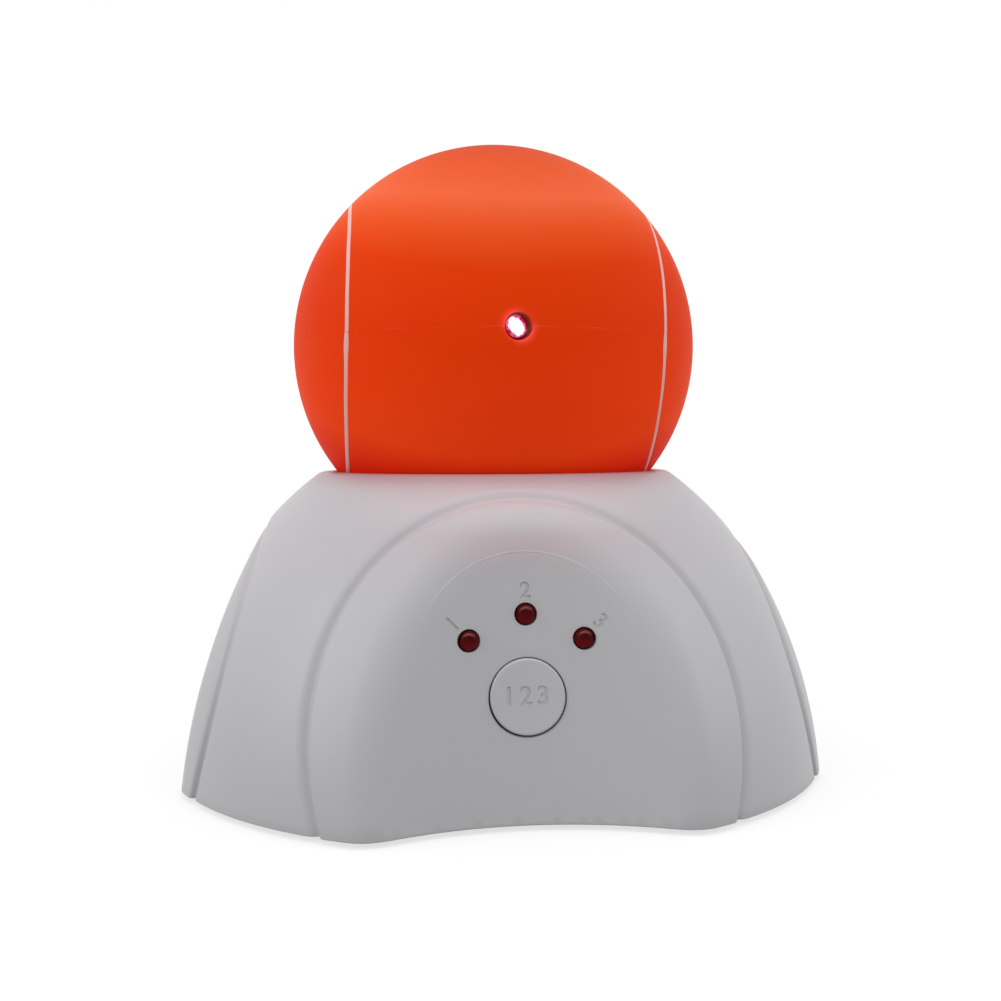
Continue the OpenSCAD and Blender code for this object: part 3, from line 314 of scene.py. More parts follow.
def shell_plastic():
    s = Shader("shell_white", Specular_IOR_Level=0.45)
    x, y, z = s.axes()
    flow, speck = s.noise(flow_mm, 3), s.noise(0.35, 2)
    tone = mottled(s, rgb(184, 183, 187), rgb(188, 187, 190), flow, speck)
    off_ring = ((x * x + (z - insert_z) ** 2) ** 0.5 - insert_r).size()
    # The ring is a real hair-thin ridge in the bump; its lighter tone is a painted highlight.
    ring = (1 - off_ring.ramp(ring_half_w, ring_blur)) * y.ramp(-30, -35) * z.ramp(36, 43)
    tone = s.mix(ring * s.noise(9, 2).ramp(0.35, 0.6), tone, rgb(206, 206, 207))
    # Painted pink reflection of the ball's light on the front panel's shoulder, lighter at its top.
    front = (1 - x.size().ramp(8, 34)) * y.ramp(0, -20)
    tone = s.mix(z.ramp(50, 56) * front, tone, rgb(203, 193, 197))
    tone = s.mix(z.ramp(42, 50) * (1 - z.ramp(50, 53)) * front, tone, rgb(190, 176, 181))
    # Painted pink light from the ball and painted shade under it, on the rim.
    near_ball = 1 - (x * x + y * y).ramp(35**2, 41**2)
    s.set("Base Color", s.mix(z.ramp(57, 60) * near_ball * 0.9, tone, rgb(176, 140, 150)))
    s.set("Roughness", s.noise(wear_mm, 2) * 0.1 + 0.33)
    s.bump(speck * 0.18 + s.noise(1.1, 1) * 0.12 + ring, 0.04)
    return s.material


shell_white = shell_plastic()
print("shell:", len(shell_white.node_tree.nodes), "nodes")

# %% [markdown]
# ## The ball's orange
# The ball is thin orange plastic, and much of its light and shade is painted into its colour.
# Its tone runs from a painted highlight on top, where the lamp above falls, to a deep red-orange
# at the seam and a painted shadow at its foot, and its lower half has a faint painted glow. Round
# the laser's hole the laser's light is painted: dark red inside the hole, with a glow on two
# sides of its rim.

# %% Ball plastic
hole_r = 2.5
halo_w = 2.0
tone_span = 80
# The tone from the ball's foot to its top, as a share of tone_span with the seam at a half.
# It holds painted light and shade: a painted shadow at the foot, painted light low on the ball,
# and a painted highlight high up where the lamp above falls.
ball_tones_and_painted_light = {0.11: (224, 34, 8), 0.19: (247, 73, 18), 0.45: (236, 60, 2), 0.62: (236, 62, 0),
              0.72: (238, 84, 30), 0.8: (240, 102, 60), 0.88: (228, 88, 42), 1.0: (200, 60, 12)}


def ball_plastic():
    s = Shader("ball_orange", Specular_IOR_Level=0.04, Emission_Strength=1.0)
    x, y, z = s.axes()
    up = z - seam_z
    flow, speck = s.noise(45, 3), s.noise(0.5, 3)
    # The painted highlight falls away to the sides, so that it is round.
    height = ((up + (flow - 0.5) * 5 - x * x * 0.007) / tone_span + 0.5).ramp(0, 1)
    stops = [(at, rgb(*tone)) for at, tone in ball_tones_and_painted_light.items()]
    tone = s.node("ShaderNodeValToRGB", {"stops": stops}, {0: height})
    tone = s.mix(speck.ramp(0.3, 0.75) * 0.03, tone, rgb(255, 110, 40))
    # The seam is painted lighter, in patches and only on the front half.
    seam_lighter_patches = s.noise(6, 2).ramp(0.35, 0.6) * (1 - x.size().ramp(22, 30))
    seam = (1 - up.size().ramp(0.04, 0.18)) * seam_lighter_patches
    tone = s.mix(seam * 0.25, tone, rgb(250, 120, 76))

    front, off_axis = y.ramp(-36, -38), (x * x + up * up) ** 0.5
    # Painted laser light and shade inside the hole: dark red.
    inside = (1 - off_axis.ramp(hole_r - 0.05, hole_r + 0.08)) * front
    s.set("Base Color", s.mix(inside, tone, rgb(120, 8, 14)))
    s.set("Roughness", s.noise(9, 3) * 0.12 + 0.5)
    s.bump(speck * 0.5 + s.noise(1.6, 2) * 0.5, 0.01)

    two_sides = ((up - x) / (off_axis + 0.1)).size().ramp(0.6, 1.41) * 0.85 + 0.15
    # A painted glow of the laser's light round the hole, stronger on two sides.
    halo = (1 - off_axis.ramp(hole_r, hole_r + halo_w)) ** 3 * front * two_sides * (1 - inside)
    # A faint painted glow on the ball's lower half.
    painted_glow_below = s.mix(z.ramp(seam_z + 12, seam_z - 12), (0.01, 0, 0, 1), (0.15, 0.004, 0.001, 1))
    s.set("Emission Color", s.mix(halo, painted_glow_below, (0.6, 0.05, 0.07, 1)))
    return s.material


ball_orange = ball_plastic()
print("ball:", len(ball_orange.node_tree.nodes), "nodes")

# %% [markdown]
# ## Metals
# Screws, shafts and springs are zinc-plated steel, with brass and bronze where the mechanism
# runs. Metals get fine machining marks in their gloss: noise that is stretched along one axis.


# %% Metals
def metal(name, colour, roughness):
    s = Shader(name, Metallic=1.0)
    stretched = s.node("ShaderNodeMapping", None, {"Vector": s.place, "Scale": (1, 1, 14)})
    marks = s.noise(2, 3, stretched)
    s.set("Base Color", s.mix(s.noise(6, 2), [c * 0.88 for c in colour[:3]] + [1], colour))
    s.set("Roughness", marks * 0.16 + (roughness - 0.08))
    s.bump(marks, 0.004)
    return s.material


brass_tone = rgb(205, 160, 92)
steel = metal("zinc_steel", rgb(206, 207, 210), 0.32)
brass = metal("turned_brass", brass_tone, 0.34)
bronze = metal("sintered_bronze", rgb(176, 128, 84), 0.5)
print("metals:", [m.name for m in (steel, brass, bronze)])

# %% [markdown]
# ## Resin of the lights
# The indicator lights are clear red resin over an unlit chip. Each reads as a dark red bead.
# Light and shade are painted into its colour: painted light makes it brighter towards its foot, a
# painted reflection of the sky is a pale crescent above, and painted shade darkens its rim. One
# material serves all three, so it measures each point from the light that is nearest to it.

# %% Red resin
led_r = 1.9
crescent_at = 0.66


def middle(node, axis):
    """The middle of a CAD node's box along one axis, in millimetres."""
    low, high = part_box(node)
    return (low[axis] + high[axis]) / 2 / MM


def led_resin():
    """Red resin: dark in the middle, painted light towards its foot, a painted reflection above, painted
    shade at the rim.
    """
    s = Shader("led_resin", Specular_IOR_Level=0.05)
    x, _, z = s.axes()
    side_x, side_z, mid_z = middle("led_right", 0), middle("led_right", 2), middle("led_centre", 2)
    aside = x.size().ramp(side_x / 2, side_x / 2 + 0.01)
    across, up = x.size() - aside * side_x, z - mid_z + aside * (mid_z - side_z)
    off, up = (across * across + up * up) ** 0.5 / led_r, up / led_r
    cloud = s.noise(0.9, 2)
    # A painted reflection of the sky: a pale crescent above the middle.
    crescent = (1 - (off - crescent_at).size().ramp(0.03, 0.15)) * up.ramp(0.35, 0.6)
    # Painted light through the resin, brighter towards the foot.
    body = s.mix(up.ramp(0.2, -0.7), rgb(62, 2, 2), rgb(128, 20, 26))
    body = s.mix(cloud.ramp(0.3, 0.7) * 0.3, body, rgb(96, 8, 10))
    # Painted shade at the rim.
    body = s.mix(off.ramp(0.85, 0.98), body, rgb(66, 8, 12))
    s.set("Base Color", s.mix(crescent * 0.8, body, rgb(140, 74, 76)))
    s.set("Roughness", cloud * 0.1 + 0.22)
    s.bump(cloud, 0.004)
    return s.material


led_red = led_resin()
print("lights: resin over a radius of", led_r, "mm")

# %% [markdown]
# ## The laser's glass and brass
# The laser's lens glows, and its facets break the glow up: a ragged white core, pink towards
# its edge and dark red beyond. The core is a slanted ellipse whose edge is torn by noise. The
# barrel round it is turned brass, with the laser's own red light painted on at its mouth.

# %% Glass and barrel of the laser
slant_cos, slant_sin = 0.55, 0.84


def laser_glass():
    s = Shader("laser_glass", Roughness=0.15, Specular_IOR_Level=0.1, Emission_Strength=1.0)
    x, _, z = s.axes()
    up = z - seam_z - 0.3
    along, across = x * slant_cos - up * slant_sin, x * slant_sin + up * slant_cos
    ragged = s.noise(0.8, 3) * 0.55 + s.noise(0.35, 2) * 0.25
    off_core = ((along * 0.55) ** 2 + (across * 0.8) ** 2) ** 0.5 + ragged - 0.4
    core = off_core.ramp(1.06, 0.92)
    s.set("Base Color", s.mix(core, rgb(120, 10, 30), rgb(250, 235, 238)))
    pink = s.mix(s.noise(0.5, 2).ramp(0.4, 0.6), (0.5, 0.004, 0.06, 1), (0.85, 0.16, 0.34, 1))
    glow = s.mix(off_core.ramp(1.5, 1.25), (0.22, 0.0, 0.008, 1), pink)
    s.set("Emission Color", s.mix(core, glow, (1.1, 0.98, 1.0, 1)))
    return s.material


def laser_brass():
    s = Shader("laser_brass", Metallic=0.75)
    x, y, z = s.axes()
    # Painted red light of the laser on the barrel's mouth, less of it towards the right.
    right_side = (x + (z - seam_z) * 0.8).ramp(-0.5, 1.6)
    painted_laser_light = s.mix(right_side, rgb(120, 6, 16), rgb(140, 88, 48))
    s.set("Base Color", s.mix(y.ramp(-33, -36), brass_tone, painted_laser_light))
    s.set("Roughness", s.noise(2, 3) * 0.15 + 0.35)
    s.bump(s.noise(0.4, 2), 0.006)
    return s.material


lens_glow, barrel_brass = laser_glass(), laser_brass()
print("laser:", lens_glow.name, barrel_brass.name)

# %% [markdown]
# ## Boards and cells
# The circuit boards are green with copper tracks under the varnish, which a net of Voronoi
# cells suggests. The battery cells wear a printed sleeve: a dark band at one end, then blue.


# %% Boards and cells
def circuit_board():
    s = Shader("board_green", Roughness=0.35, Coat_Weight=0.3)
    net = s.node("ShaderNodeTexVoronoi", {"feature": "DISTANCE_TO_EDGE"},
                 {"Vector": s.place, "Scale": 1 / (3.0 * MM)}, output="Distance")
    track = net.ramp(0.03, 0.05)
    s.set("Base Color", s.mix(track, rgb(52, 122, 66), rgb(20, 84, 44)))
    s.bump(track, 0.02)
    return s.material


def cell_wrap():
    s = Shader("cell_wrap", Roughness=0.3)
    band = (s.axes()[0] + 12).ramp(-0.2, 0.2)
    s.set("Base Color", s.mix(band, rgb(34, 36, 42), rgb(62, 104, 150)))
    s.bump(s.noise(0.6, 2), 0.006)
    return s.material


board_green, cell_blue = circuit_board(), cell_wrap()
print("materials:", len(bpy.data.materials))

# %% [markdown]
# ## Finish for the solids that stay
# The pieces inside the toy keep their exact solids. Each gets the finish of its material slot
# in the record, so nothing inside is left bare when the toy is opened.

# %% Dress the solids
finish_of_slot = {
    "white_shell": shell_white, "button_white": button_white, "plate_plastic": plate_grey,
    "ball_orange": ball_orange, "line_paint": line_paint, "led_lens": led_red,
    "foot_rubber": foot_rubber, "inner_plastic": inner_grey, "gear_plastic": gear_cream,
    "black_plastic": black_plastic, "steel": steel, "brass": brass, "bronze": bronze,
    "board_green": board_green, "cell_wrap": cell_blue, "lens_glass": lens_glow,
}
slot_of_node = {s["node"]: s["material_slot"] for s in frame["record"]["subparts"]}
for node, solid in frame["nodes"].items():
    solid.data.materials.clear()
    solid.data.materials.append(finish_of_slot[slot_of_node[node]])
frame["nodes"]["laser_barrel"].data.materials[0] = barrel_brass
print("dressed", len(slot_of_node), "solids")

# %% [markdown]
# ## Building meshes from rules
# The base's outside is made of patches that share their borders exactly: a skin collects such
# patches, and one weld at the end makes them a closed shell. Most patches are grids of rows,
# because the surface is smooth along an arch and changes quickly across it.


# %% A skin of patches
def turned_xy(points, degrees):
    a = math.radians(degrees)
    x, y = points[..., 0], points[..., 1]
    turned_x, turned_y = x * math.cos(a) - y * math.sin(a), x * math.sin(a) + y * math.cos(a)
    return np.stack([turned_x, turned_y, points[..., 2]], -1)


class Skin:
    """Patches of points in millimetres, joined into one mesh. side turns a patch about Z."""

    def __init__(self):
        self.points, self.faces, self.count, self.side, self.lowest = [], [], 0, 0, None

    def patch(self, points, faces):
        points = turned_xy(np.asarray(points, float).reshape(-1, 3), self.side)
        if self.lowest is not None:
            points[:, 2] = np.maximum(points[:, 2], self.lowest)
        self.faces += [[i + self.count for i in face] for face in faces]
        self.points.append(points)
        self.count += len(points)

    def grid(self, rows, closed=False, leave_out=lambda i, j: False):
        """Faces between neighbouring rows of points. closed joins each row's end to its start."""
        rows = np.asarray(rows, float)
        high, wide = rows.shape[:2]
        cells = [(i, j) for i in range(high - 1) for j in range(wide if closed else wide - 1)]
        self.patch(rows, [[i * wide + j, i * wide + (j + 1) % wide, (i + 1) * wide + (j + 1) % wide,
                           (i + 1) * wide + j] for i, j in cells if not leave_out(i, j)])

    def mesh(self, name, lift=0.0):
        mesh = bpy.data.meshes.new(name)
        points = np.vstack(self.points) + [0, 0, lift]
        mesh.from_pydata((points * MM).tolist(), [], self.faces)
        return mesh


# %% [markdown]
# ## From patches to a piece
# The weld joins points that lie closer than a thousandth of a millimetre. Shading is smooth
# except at edges that turn by more than a given angle. The number of edges without exactly two
# faces is printed, because a piece has to be closed before it can be cut. A wire left on the
# axis of a turned piece counts as one, and does no harm.

# %% Weld a mesh into a piece
weld_mm, speck_mm = 0.0008, 0.0004


def finished(mesh, name, material, sharp_deg=40):
    """Weld a mesh, turn its faces outwards, smooth it and make it an object."""
    bm = bmesh.new()
    bm.from_mesh(mesh)
    bmesh.ops.remove_doubles(bm, verts=bm.verts, dist=weld_mm * MM)
    bmesh.ops.dissolve_degenerate(bm, edges=bm.edges, dist=speck_mm * MM)
    bmesh.ops.recalc_face_normals(bm, faces=bm.faces)
    open_edges = sum(len(e.link_faces) != 2 for e in bm.edges)
    bm.to_mesh(mesh)
    bm.free()
    mesh.shade_smooth()
    mesh.set_sharp_from_angle(angle=math.radians(sharp_deg))
    mesh.materials.clear()
    mesh.materials.append(material)
    print(name, len(mesh.polygons), "faces,", open_edges, "open edges")
    return in_scene(name, mesh)


# %% [markdown]
# ## Flat areas with holes
# An area with round holes or numerals in it is no grid. It is triangulated between its border
# and the holes, and the triangles that fall outside the border or inside a hole are dropped.


# %% Fill a flat area
def within(points, loop):
    """Which 2D points lie inside a closed loop, by counting crossings."""
    points, loop = np.asarray(points, float), np.asarray(loop, float)
    inside = np.zeros(len(points), bool)
    for a, b in zip(loop, np.roll(loop, -1, axis=0)):
        if a[1] == b[1]:
            continue
        crosses = (a[1] > points[:, 1]) != (b[1] > points[:, 1])
        at = a[0] + (points[:, 1] - a[1]) / (b[1] - a[1]) * (b[0] - a[0])
        inside ^= crosses & (points[:, 0] < at)
    return inside


def between(points, border, holes):
    """Which 2D points lie inside the border and in none of the holes."""
    keep = within(points, border)
    for hole in holes:
        keep &= ~within(points, hole)
    return keep


def filled(border, holes, inside):
    """Triangles over a flat area: border and holes are loops of 2D points, inside are loose ones."""
    loops = [border, *holes]
    points = [Vector(p) for loop in loops for p in loop] + [Vector(p) for p in inside]
    edges, start = [], 0
    for loop in loops:
        n = len(loop)
        edges += [(start + i, start + (i + 1) % n) for i in range(n)]
        start += n
    flat, _, faces, _, _, _ = delaunay_2d_cdt(points, edges, [], 0, 1e-7)
    flat = np.array([tuple(p) for p in flat])
    keep = between(np.array([flat[list(f)].mean(0) for f in faces]), border, holes)
    return flat, [list(f) for f, k in zip(faces, keep) if k]


square = [(0, 0), (1, 0), (1, 1), (0, 1)]
print("a square filled:", len(filled(square, [], [])[1]), "triangles")

# %% [markdown]
# Rounded corners and circles come up in nearly every piece. A corner is a quadratic curve that
# leaves one side and meets the other without a kink, and it works on whole rows of points.


# %% Corners and circles
def bend(start, corner, end, steps):
    """Points of a rounded corner, a quadratic curve from start to end. Works on whole rows."""
    start, corner, end = (np.asarray(p, float) for p in (start, corner, end))
    shares = np.linspace(0, 1, steps + 1)
    return [(1 - t) ** 2 * start + 2 * t * (1 - t) * corner + t**2 * end for t in shares]


def circle(centre, radius, steps):
    turn = np.linspace(0, 2 * np.pi, steps, endpoint=False)
    return np.stack([centre[0] + radius * np.cos(turn), centre[1] + radius * np.sin(turn)], -1)


print("a bent corner:", [tuple(q) for q in bend((0, 0), (1, 0), (1, 1), 2)])

# %% [markdown]
# ## The dome
# The dome's profile is a superellipse, a curve between an ellipse and a box. Each of the four
# arch panels begins where a leaning plane cuts the dome: that cut leaves a flat ledge, and on
# the ledge stands a raised panel whose face falls back into a shallow hollow. All of it is
# written as a few functions of height, so any point of the surface can be asked for.

# %% Dome, ledge and panel
dome_top = base_h + dome_drop
dome_scale = base_r**dome_power * dome_top**dome_power - rim_r**dome_power * dome_drop**dome_power
radial = (dome_top**dome_power - dome_drop**dome_power) / dome_scale
vertical = (base_r**dome_power - rim_r**dome_power) / dome_scale


def dome_r(h):
    return ((1 - vertical * (h + dome_drop) ** dome_power) / radial) ** (1 / dome_power)


def dome_slope(h):
    return -vertical / radial * (h + dome_drop) ** (dome_power - 1) * dome_r(h) ** (1 - dome_power)


def ledge_y(p, h):
    return p["ledge"] - np.tan(np.radians(p["ledge_lean"])) * h


def face_y(p, x, h):
    lean = np.radians(p["face_lean"])
    return p["face"] - np.tan(lean) * h + (p["hollow"] - np.sqrt(p["hollow"] ** 2 - x**2)) / np.cos(lean)


def panel_y(p, x, h):
    """How far forward a panel's surface lies: the lesser of dome and face, blended softly."""
    dome = np.sqrt(np.maximum((dome_r(h) + panel_raise) ** 2 - x**2, 1))
    face = face_y(p, x, h)
    blend = np.maximum(shoulder - np.abs(dome - face), 0) ** 2 / (4 * shoulder)
    return np.minimum(dome, face) - blend


print("dome radius", round(dome_r(0), 2), "at the foot and", round(dome_r(base_h), 2), "at the rim")

# %% [markdown]
# ## The arches
# An arch is the line where the ledge's plane leaves the dome. Its height follows from a search
# for the place where both have the same reach, and its width follows from the dome's circle at
# each height. At its feet the arch is followed level, so that panels end flat on the floor.

# %% Arch lines
search_steps = 40
level_foot_h = 7


def arch_top(p):
    low, high = base_h * 0.3, base_h
    for _ in range(search_steps):
        half = (low + high) / 2
        low, high = (half, high) if dome_r(half) > ledge_y(p, half) else (low, half)
    return low


def arch(p, turns):
    """Points (x, h) of the arch where the ledge leaves the dome, for turns of 0 to pi."""
    h = np.round(arch_top(p) * np.sin(turns), 9)
    half = np.sqrt(np.maximum(dome_r(h) ** 2 - ledge_y(p, h) ** 2, 0))
    return np.stack([np.sign(np.cos(turns)) * half, h], -1)


def arch_inward(p, turns):
    """Unit vectors from the arch towards its middle. They lie flat at the feet."""
    step = math.radians(0.5)
    d = arch(p, np.clip(turns + step, 0, np.pi)) - arch(p, np.clip(turns - step, 0, np.pi))
    d /= np.linalg.norm(d, axis=-1, keepdims=True)
    inward = np.stack([-d[:, 1], d[:, 0]], -1)
    flat = 1 - np.clip(arch(p, turns)[:, 1] / level_foot_h, 0, 1)
    inward[:, 1] *= 1 - flat**2
    return inward / np.linalg.norm(inward, axis=-1, keepdims=True)


for name, p in (("front", front_panel), ("side", side_panel)):
    half_w = float(arch(p, [0])[0][0])
    print(name, "arch: top", round(arch_top(p), 2), "half width at the floor", round(half_w, 2))

# %% [markdown]
# ## The base shell's skin
# A moulded shell has no sharp edge anywhere, and it is those small radii that catch the light.
# The skin is therefore made of rows of points that run along each arch: the dome, the rolled
# edge, the flat ledge, the small fillet at its foot, the panel's wall, the panel's own rolled
# edge, and then the panel's face. Neighbouring arches are joined by a patch of dome. All rows
# share their end points, so one weld makes the skin closed.

# %% Rows along an arch
arch_points = 96
dome_roll = 0.8
foot_fillet = 0.45
panel_roll = 0.75
round_share = 0.4  # of a low wall, the most that one rounding may take
face_rows = 16
face_reach = 12.2


def arch_rows(p):
    """Rows from the dome's edge over the ledge to the panel's face, in the panel's own frame."""
    turns = np.linspace(0, np.pi, arch_points + 1)
    edge, inward = arch(p, turns), arch_inward(p, turns)
    edge[arch_points // 2, 0] = 0

    def at(inset, surface):
        x, h = (edge + inset * inward).T
        if surface == "dome":
            y = np.sqrt(dome_r(h) ** 2 - x**2)
        elif surface == "ledge":
            y = ledge_y(p, h)
        else:
            y = panel_y(p, x, h)
        return np.stack([x, -y, h], -1)

    wall_foot, wall_top = at(ledge_w, "ledge"), at(ledge_w, "panel")
    rise = np.linalg.norm(wall_top - wall_foot, axis=1, keepdims=True)
    along = (wall_top - wall_foot) / rise
    fillet_end = wall_foot + along * np.minimum(foot_fillet, rise * round_share)
    roll_start = wall_top - along * np.minimum(panel_roll, rise * round_share)
    first = ledge_w + panel_roll
    rows = bend(at(-dome_roll, "dome"), at(0, "ledge"), at(dome_roll, "ledge"), 5)
    rows += bend(at(ledge_w - foot_fillet, "ledge"), wall_foot, fillet_end, 3)
    rows += bend(roll_start, wall_top, at(first, "panel"), 5)
    rows += [at(first + (face_reach - first) * i / face_rows, "panel") for i in range(1, face_rows + 1)]
    return np.array(rows)


arches = [arch_rows(p) for _, p in panels]
print("rows over an arch:", len(arches[0]))

# %% [markdown]
# The four patches of dome lie between the arches. A row of such a patch starts on one arch and
# ends on the next, and its points are spread evenly in turn and height, so each lies exactly on
# the dome. Above the arches the rows go on to the rim.

# %% Dome patches
dome_columns = 48
rise_rows = 7
rim_roll = 0.7


def on_dome(turn, h, r=None):
    r = dome_r(h) if r is None else r
    return np.stack([r * np.sin(turn), -r * np.cos(turn), h + 0 * turn], -1)


def arch_border(rows, side):
    """Turn and height along one half of an arch, from its foot to its apex and up to the rim."""
    line = rows[0][: arch_points // 2 + 1] if side > 0 else rows[0][: arch_points // 2 - 1 : -1]
    turn, h = np.arctan2(line[:, 0], -line[:, 1]), line[:, 2]
    to_rim = np.linspace(h[-1], base_h - rim_roll, rise_rows + 1)[1:]
    return np.append(turn, np.zeros(rise_rows)), np.append(h, to_rim)


def dome_patch(k):
    """The dome between an arch and the next one, in the first one's frame."""
    turn_a, h_a = arch_border(arches[k], 1)
    turn_b, h_b = arch_border(arches[(k + 1) % 4], -1)
    share = np.linspace(0, 1, dome_columns + 1)
    turn = turn_a[:, None] + share * (np.pi / 2 + turn_b - turn_a)[:, None]
    h = h_a[:, None] + share * (h_b - h_a)[:, None]
    return on_dome(turn, h)


print("points of a dome patch:", dome_patch(0)[..., 0].size)

# %% [markdown]
# ## The inside
# The wall is even, so the inside is the outside moved in by the wall's thickness: the dome's
# profile along its normal, and each panel's hollow face as a cylinder of a larger radius. A ray
# from the axis is met by whichever of them comes first.

# %% Rows up the inside
inside_rows = 26
turns = np.arange(4 * dome_columns) * (np.pi / 2 / dome_columns)


def inner_r(turn, h, dome_limit):
    """Radius of the hollow inside: the offset dome, or a panel's face less the wall."""
    r = np.full(turn.shape, dome_limit)
    for side, p in panels:
        t = turn - np.radians(side)
        lean, reach = np.radians(p["face_lean"]), p["hollow"] + wall
        far = p["face"] + p["hollow"] / np.cos(lean) - np.tan(lean) * h
        a = (np.cos(t) * np.cos(lean)) ** 2 + np.sin(t) ** 2
        b = far * np.cos(t) * np.cos(lean) ** 2
        c = (far * np.cos(lean)) ** 2 - reach**2
        root = b**2 - a * c
        meets = (root > 0) & (np.cos(t) > 0.3)
        r = np.minimum(r, np.where(meets, (b - np.sqrt(np.maximum(root, 0))) / a, np.inf))
    return r


def inner_rows():
    """Rows up the inside, from the bottom edge to the flat roof under the rim."""
    rows = []
    for h in np.linspace(0, base_h, inside_rows + 1):
        slope = dome_slope(h)
        limit, level = dome_r(h) - wall / math.hypot(1, slope), h + wall * slope / math.hypot(1, slope)
        level = max(level, 0) if h else 0
        rows.append(on_dome(turns, level, inner_r(turns, level, limit)))
    return np.array(rows)


inside = inner_rows()
roof_h = inside[-1][0, 2]
print("roof inside at", round(float(roof_h), 2), "mm")

# %% [markdown]
# ## The rim
# Under the ball the dome ends in a rim with a large opening. Its outer edge is rolled, and its
# inner edge is a small lip, so a fine bright line shows all round the gap.

# %% Rim rows
lip = 0.35


def rim_rows():
    def ring(r, h):
        return on_dome(turns, h, r)

    under = base_h - rim_roll
    outer = bend(ring(dome_r(under), under), ring(rim_r, base_h), ring(rim_r - rim_roll, base_h), 5)
    inner = bend(ring(opening_r + lip, base_h), ring(opening_r, base_h), ring(opening_r, base_h - lip), 4)
    return outer + inner + [ring(opening_r, roof_h), inside[-1]]


print("rows over the rim:", len(rim_rows()))

# %% [markdown]
# ## Holes for the controls
# The front panel has four round holes, one for the button and three for the lights. Their
# places are read from the frame. Each hole gets a small lip and a tube through the wall.

# %% Holes of the front panel
button_place = (0.0, 21.7)
button_r, button_gap = 6.6, 0.25
led_gap = 0.1
led_names = ("led_left", "led_centre", "led_right")
led_places = [(middle(name, 0), middle(name, 2) - shell_z) for name in led_names]
# Each hole: its centre, its radius, the points round it, and the size of its lip
holes = [(button_place, button_r + button_gap, 72, 0.28)]
holes += [(place, led_r + led_gap, 36, 0.16) for place in led_places]


def front_y(x, h):
    return panel_y(front_panel, x, h)


def inner_y(x, h):
    """How far forward the inside of the front panel's wall lies."""
    p, lean = front_panel, np.radians(front_panel["face_lean"])
    hollow = (p["hollow"] - np.sqrt((p["hollow"] + wall) ** 2 - x**2)) / np.cos(lean)
    return p["face"] - np.tan(lean) * h + hollow


def loop_at(radius, surface, centre, count):
    """A circle in the plane of (x, h), laid on a surface or at one distance from the axis."""
    flat = circle(centre, radius, count)
    level = surface(flat[:, 0], flat[:, 1]) if callable(surface) else np.full(count, float(surface))
    return np.insert(flat, 1, -level, axis=1)


def hole_rows(centre, radius, count, edge):
    """Rows from the panel's face over a small lip and through the wall to the inside."""

    def sunk(x, h):
        return front_y(x, h) - edge

    corner = ((radius + edge, front_y), (radius, front_y), (radius, sunk))
    lip_rows = bend(*(loop_at(*q, centre, count) for q in corner), 4)
    return lip_rows + [loop_at(radius, inner_y, centre, count)]


print("lights at", [(round(x, 2), round(h, 2)) for x, h in led_places])

# %% [markdown]
# ## Outlines of numerals
# Numerals are sunk into panel and button by the mould. Blender's own font gives the shapes, and
# only their outlines are needed: they are followed edge by edge round the flat mesh.


# %% Outlines of a flat mesh
def evaluated(carrier):
    """The mesh that an object gives once its modifiers or its text are worked out."""
    graph = bpy.context.evaluated_depsgraph_get()
    return bpy.data.meshes.new_from_object(carrier.evaluated_get(graph))


def rim_loops(mesh):
    """The closed outlines of a flat mesh, as lists of 2D points."""
    flat = bmesh.new()
    flat.from_mesh(mesh)
    bmesh.ops.remove_doubles(flat, verts=flat.verts, dist=1e-5)
    rim = [e for e in flat.edges if len(e.link_faces) == 1]
    loops = []
    while rim:
        edge = rim.pop()
        start, at = edge.verts
        loop = [start.co.xy[:]]
        while at is not start:
            loop.append(at.co.xy[:])
            edge = next(e for e in at.link_edges if e in rim)
            rim.remove(edge)
            at = edge.other_vert(at)
        loops.append(np.array(loop))
    flat.free()
    return loops


# %% [markdown]
# ## Numerals of the settings
# The three settings are numbered outside their lights. Each numeral is turned with its light's
# place about the button.

# %% Numerals round the button
numeral_reach, numeral_h = 18.5, 2.9
numeral_turns = {"1": 45, "2": 0, "3": -45}


def outlines(text, height, centre, degrees=0.0):
    """Closed outlines of plain numerals in the plane of (x, h), turned about their middle."""
    words = bpy.data.curves.new("numerals", "FONT")
    words.body, words.align_x, words.resolution_u = text, "CENTER", 5
    words.space_character, words.offset = 1.3, 0.02
    carrier = in_scene("numerals", words)
    loops = rim_loops(evaluated(carrier))
    bpy.data.objects.remove(carrier)
    every = np.vstack(loops)
    low, high = every.min(0), every.max(0)
    size = height / (high[1] - low[1])
    a = math.radians(degrees)
    turn = np.array([[math.cos(a), math.sin(a)], [-math.sin(a), math.cos(a)]])
    return [(loop - (low + high) / 2) * size @ turn + centre for loop in loops]


numerals = []
for numeral, degrees in numeral_turns.items():
    a = math.radians(degrees)
    at = np.array(button_place) + numeral_reach * np.array([-math.sin(a), math.cos(a)])
    numerals += outlines(numeral, numeral_h, at, degrees)
print("numeral outlines:", [len(loop) for loop in numerals])

# %% [markdown]
# ## Fields between the holes
# The middle of a panel's face is a field of distances over the plane of width and height. A
# regular net of points fills it between its border and the holes. The engraved strokes are
# made the same way: walls lead down from each outline to a floor of its own.

# %% Fields and engraving
net_row = 0.87  # height of a net's row, as a share of its gap
net_clear = 0.55  # least distance of a net's point from a border, as a share of the gap
face_gap, fine_gap, inner_gap = 1.8, 1.4, 2.5
engraving = 0.2


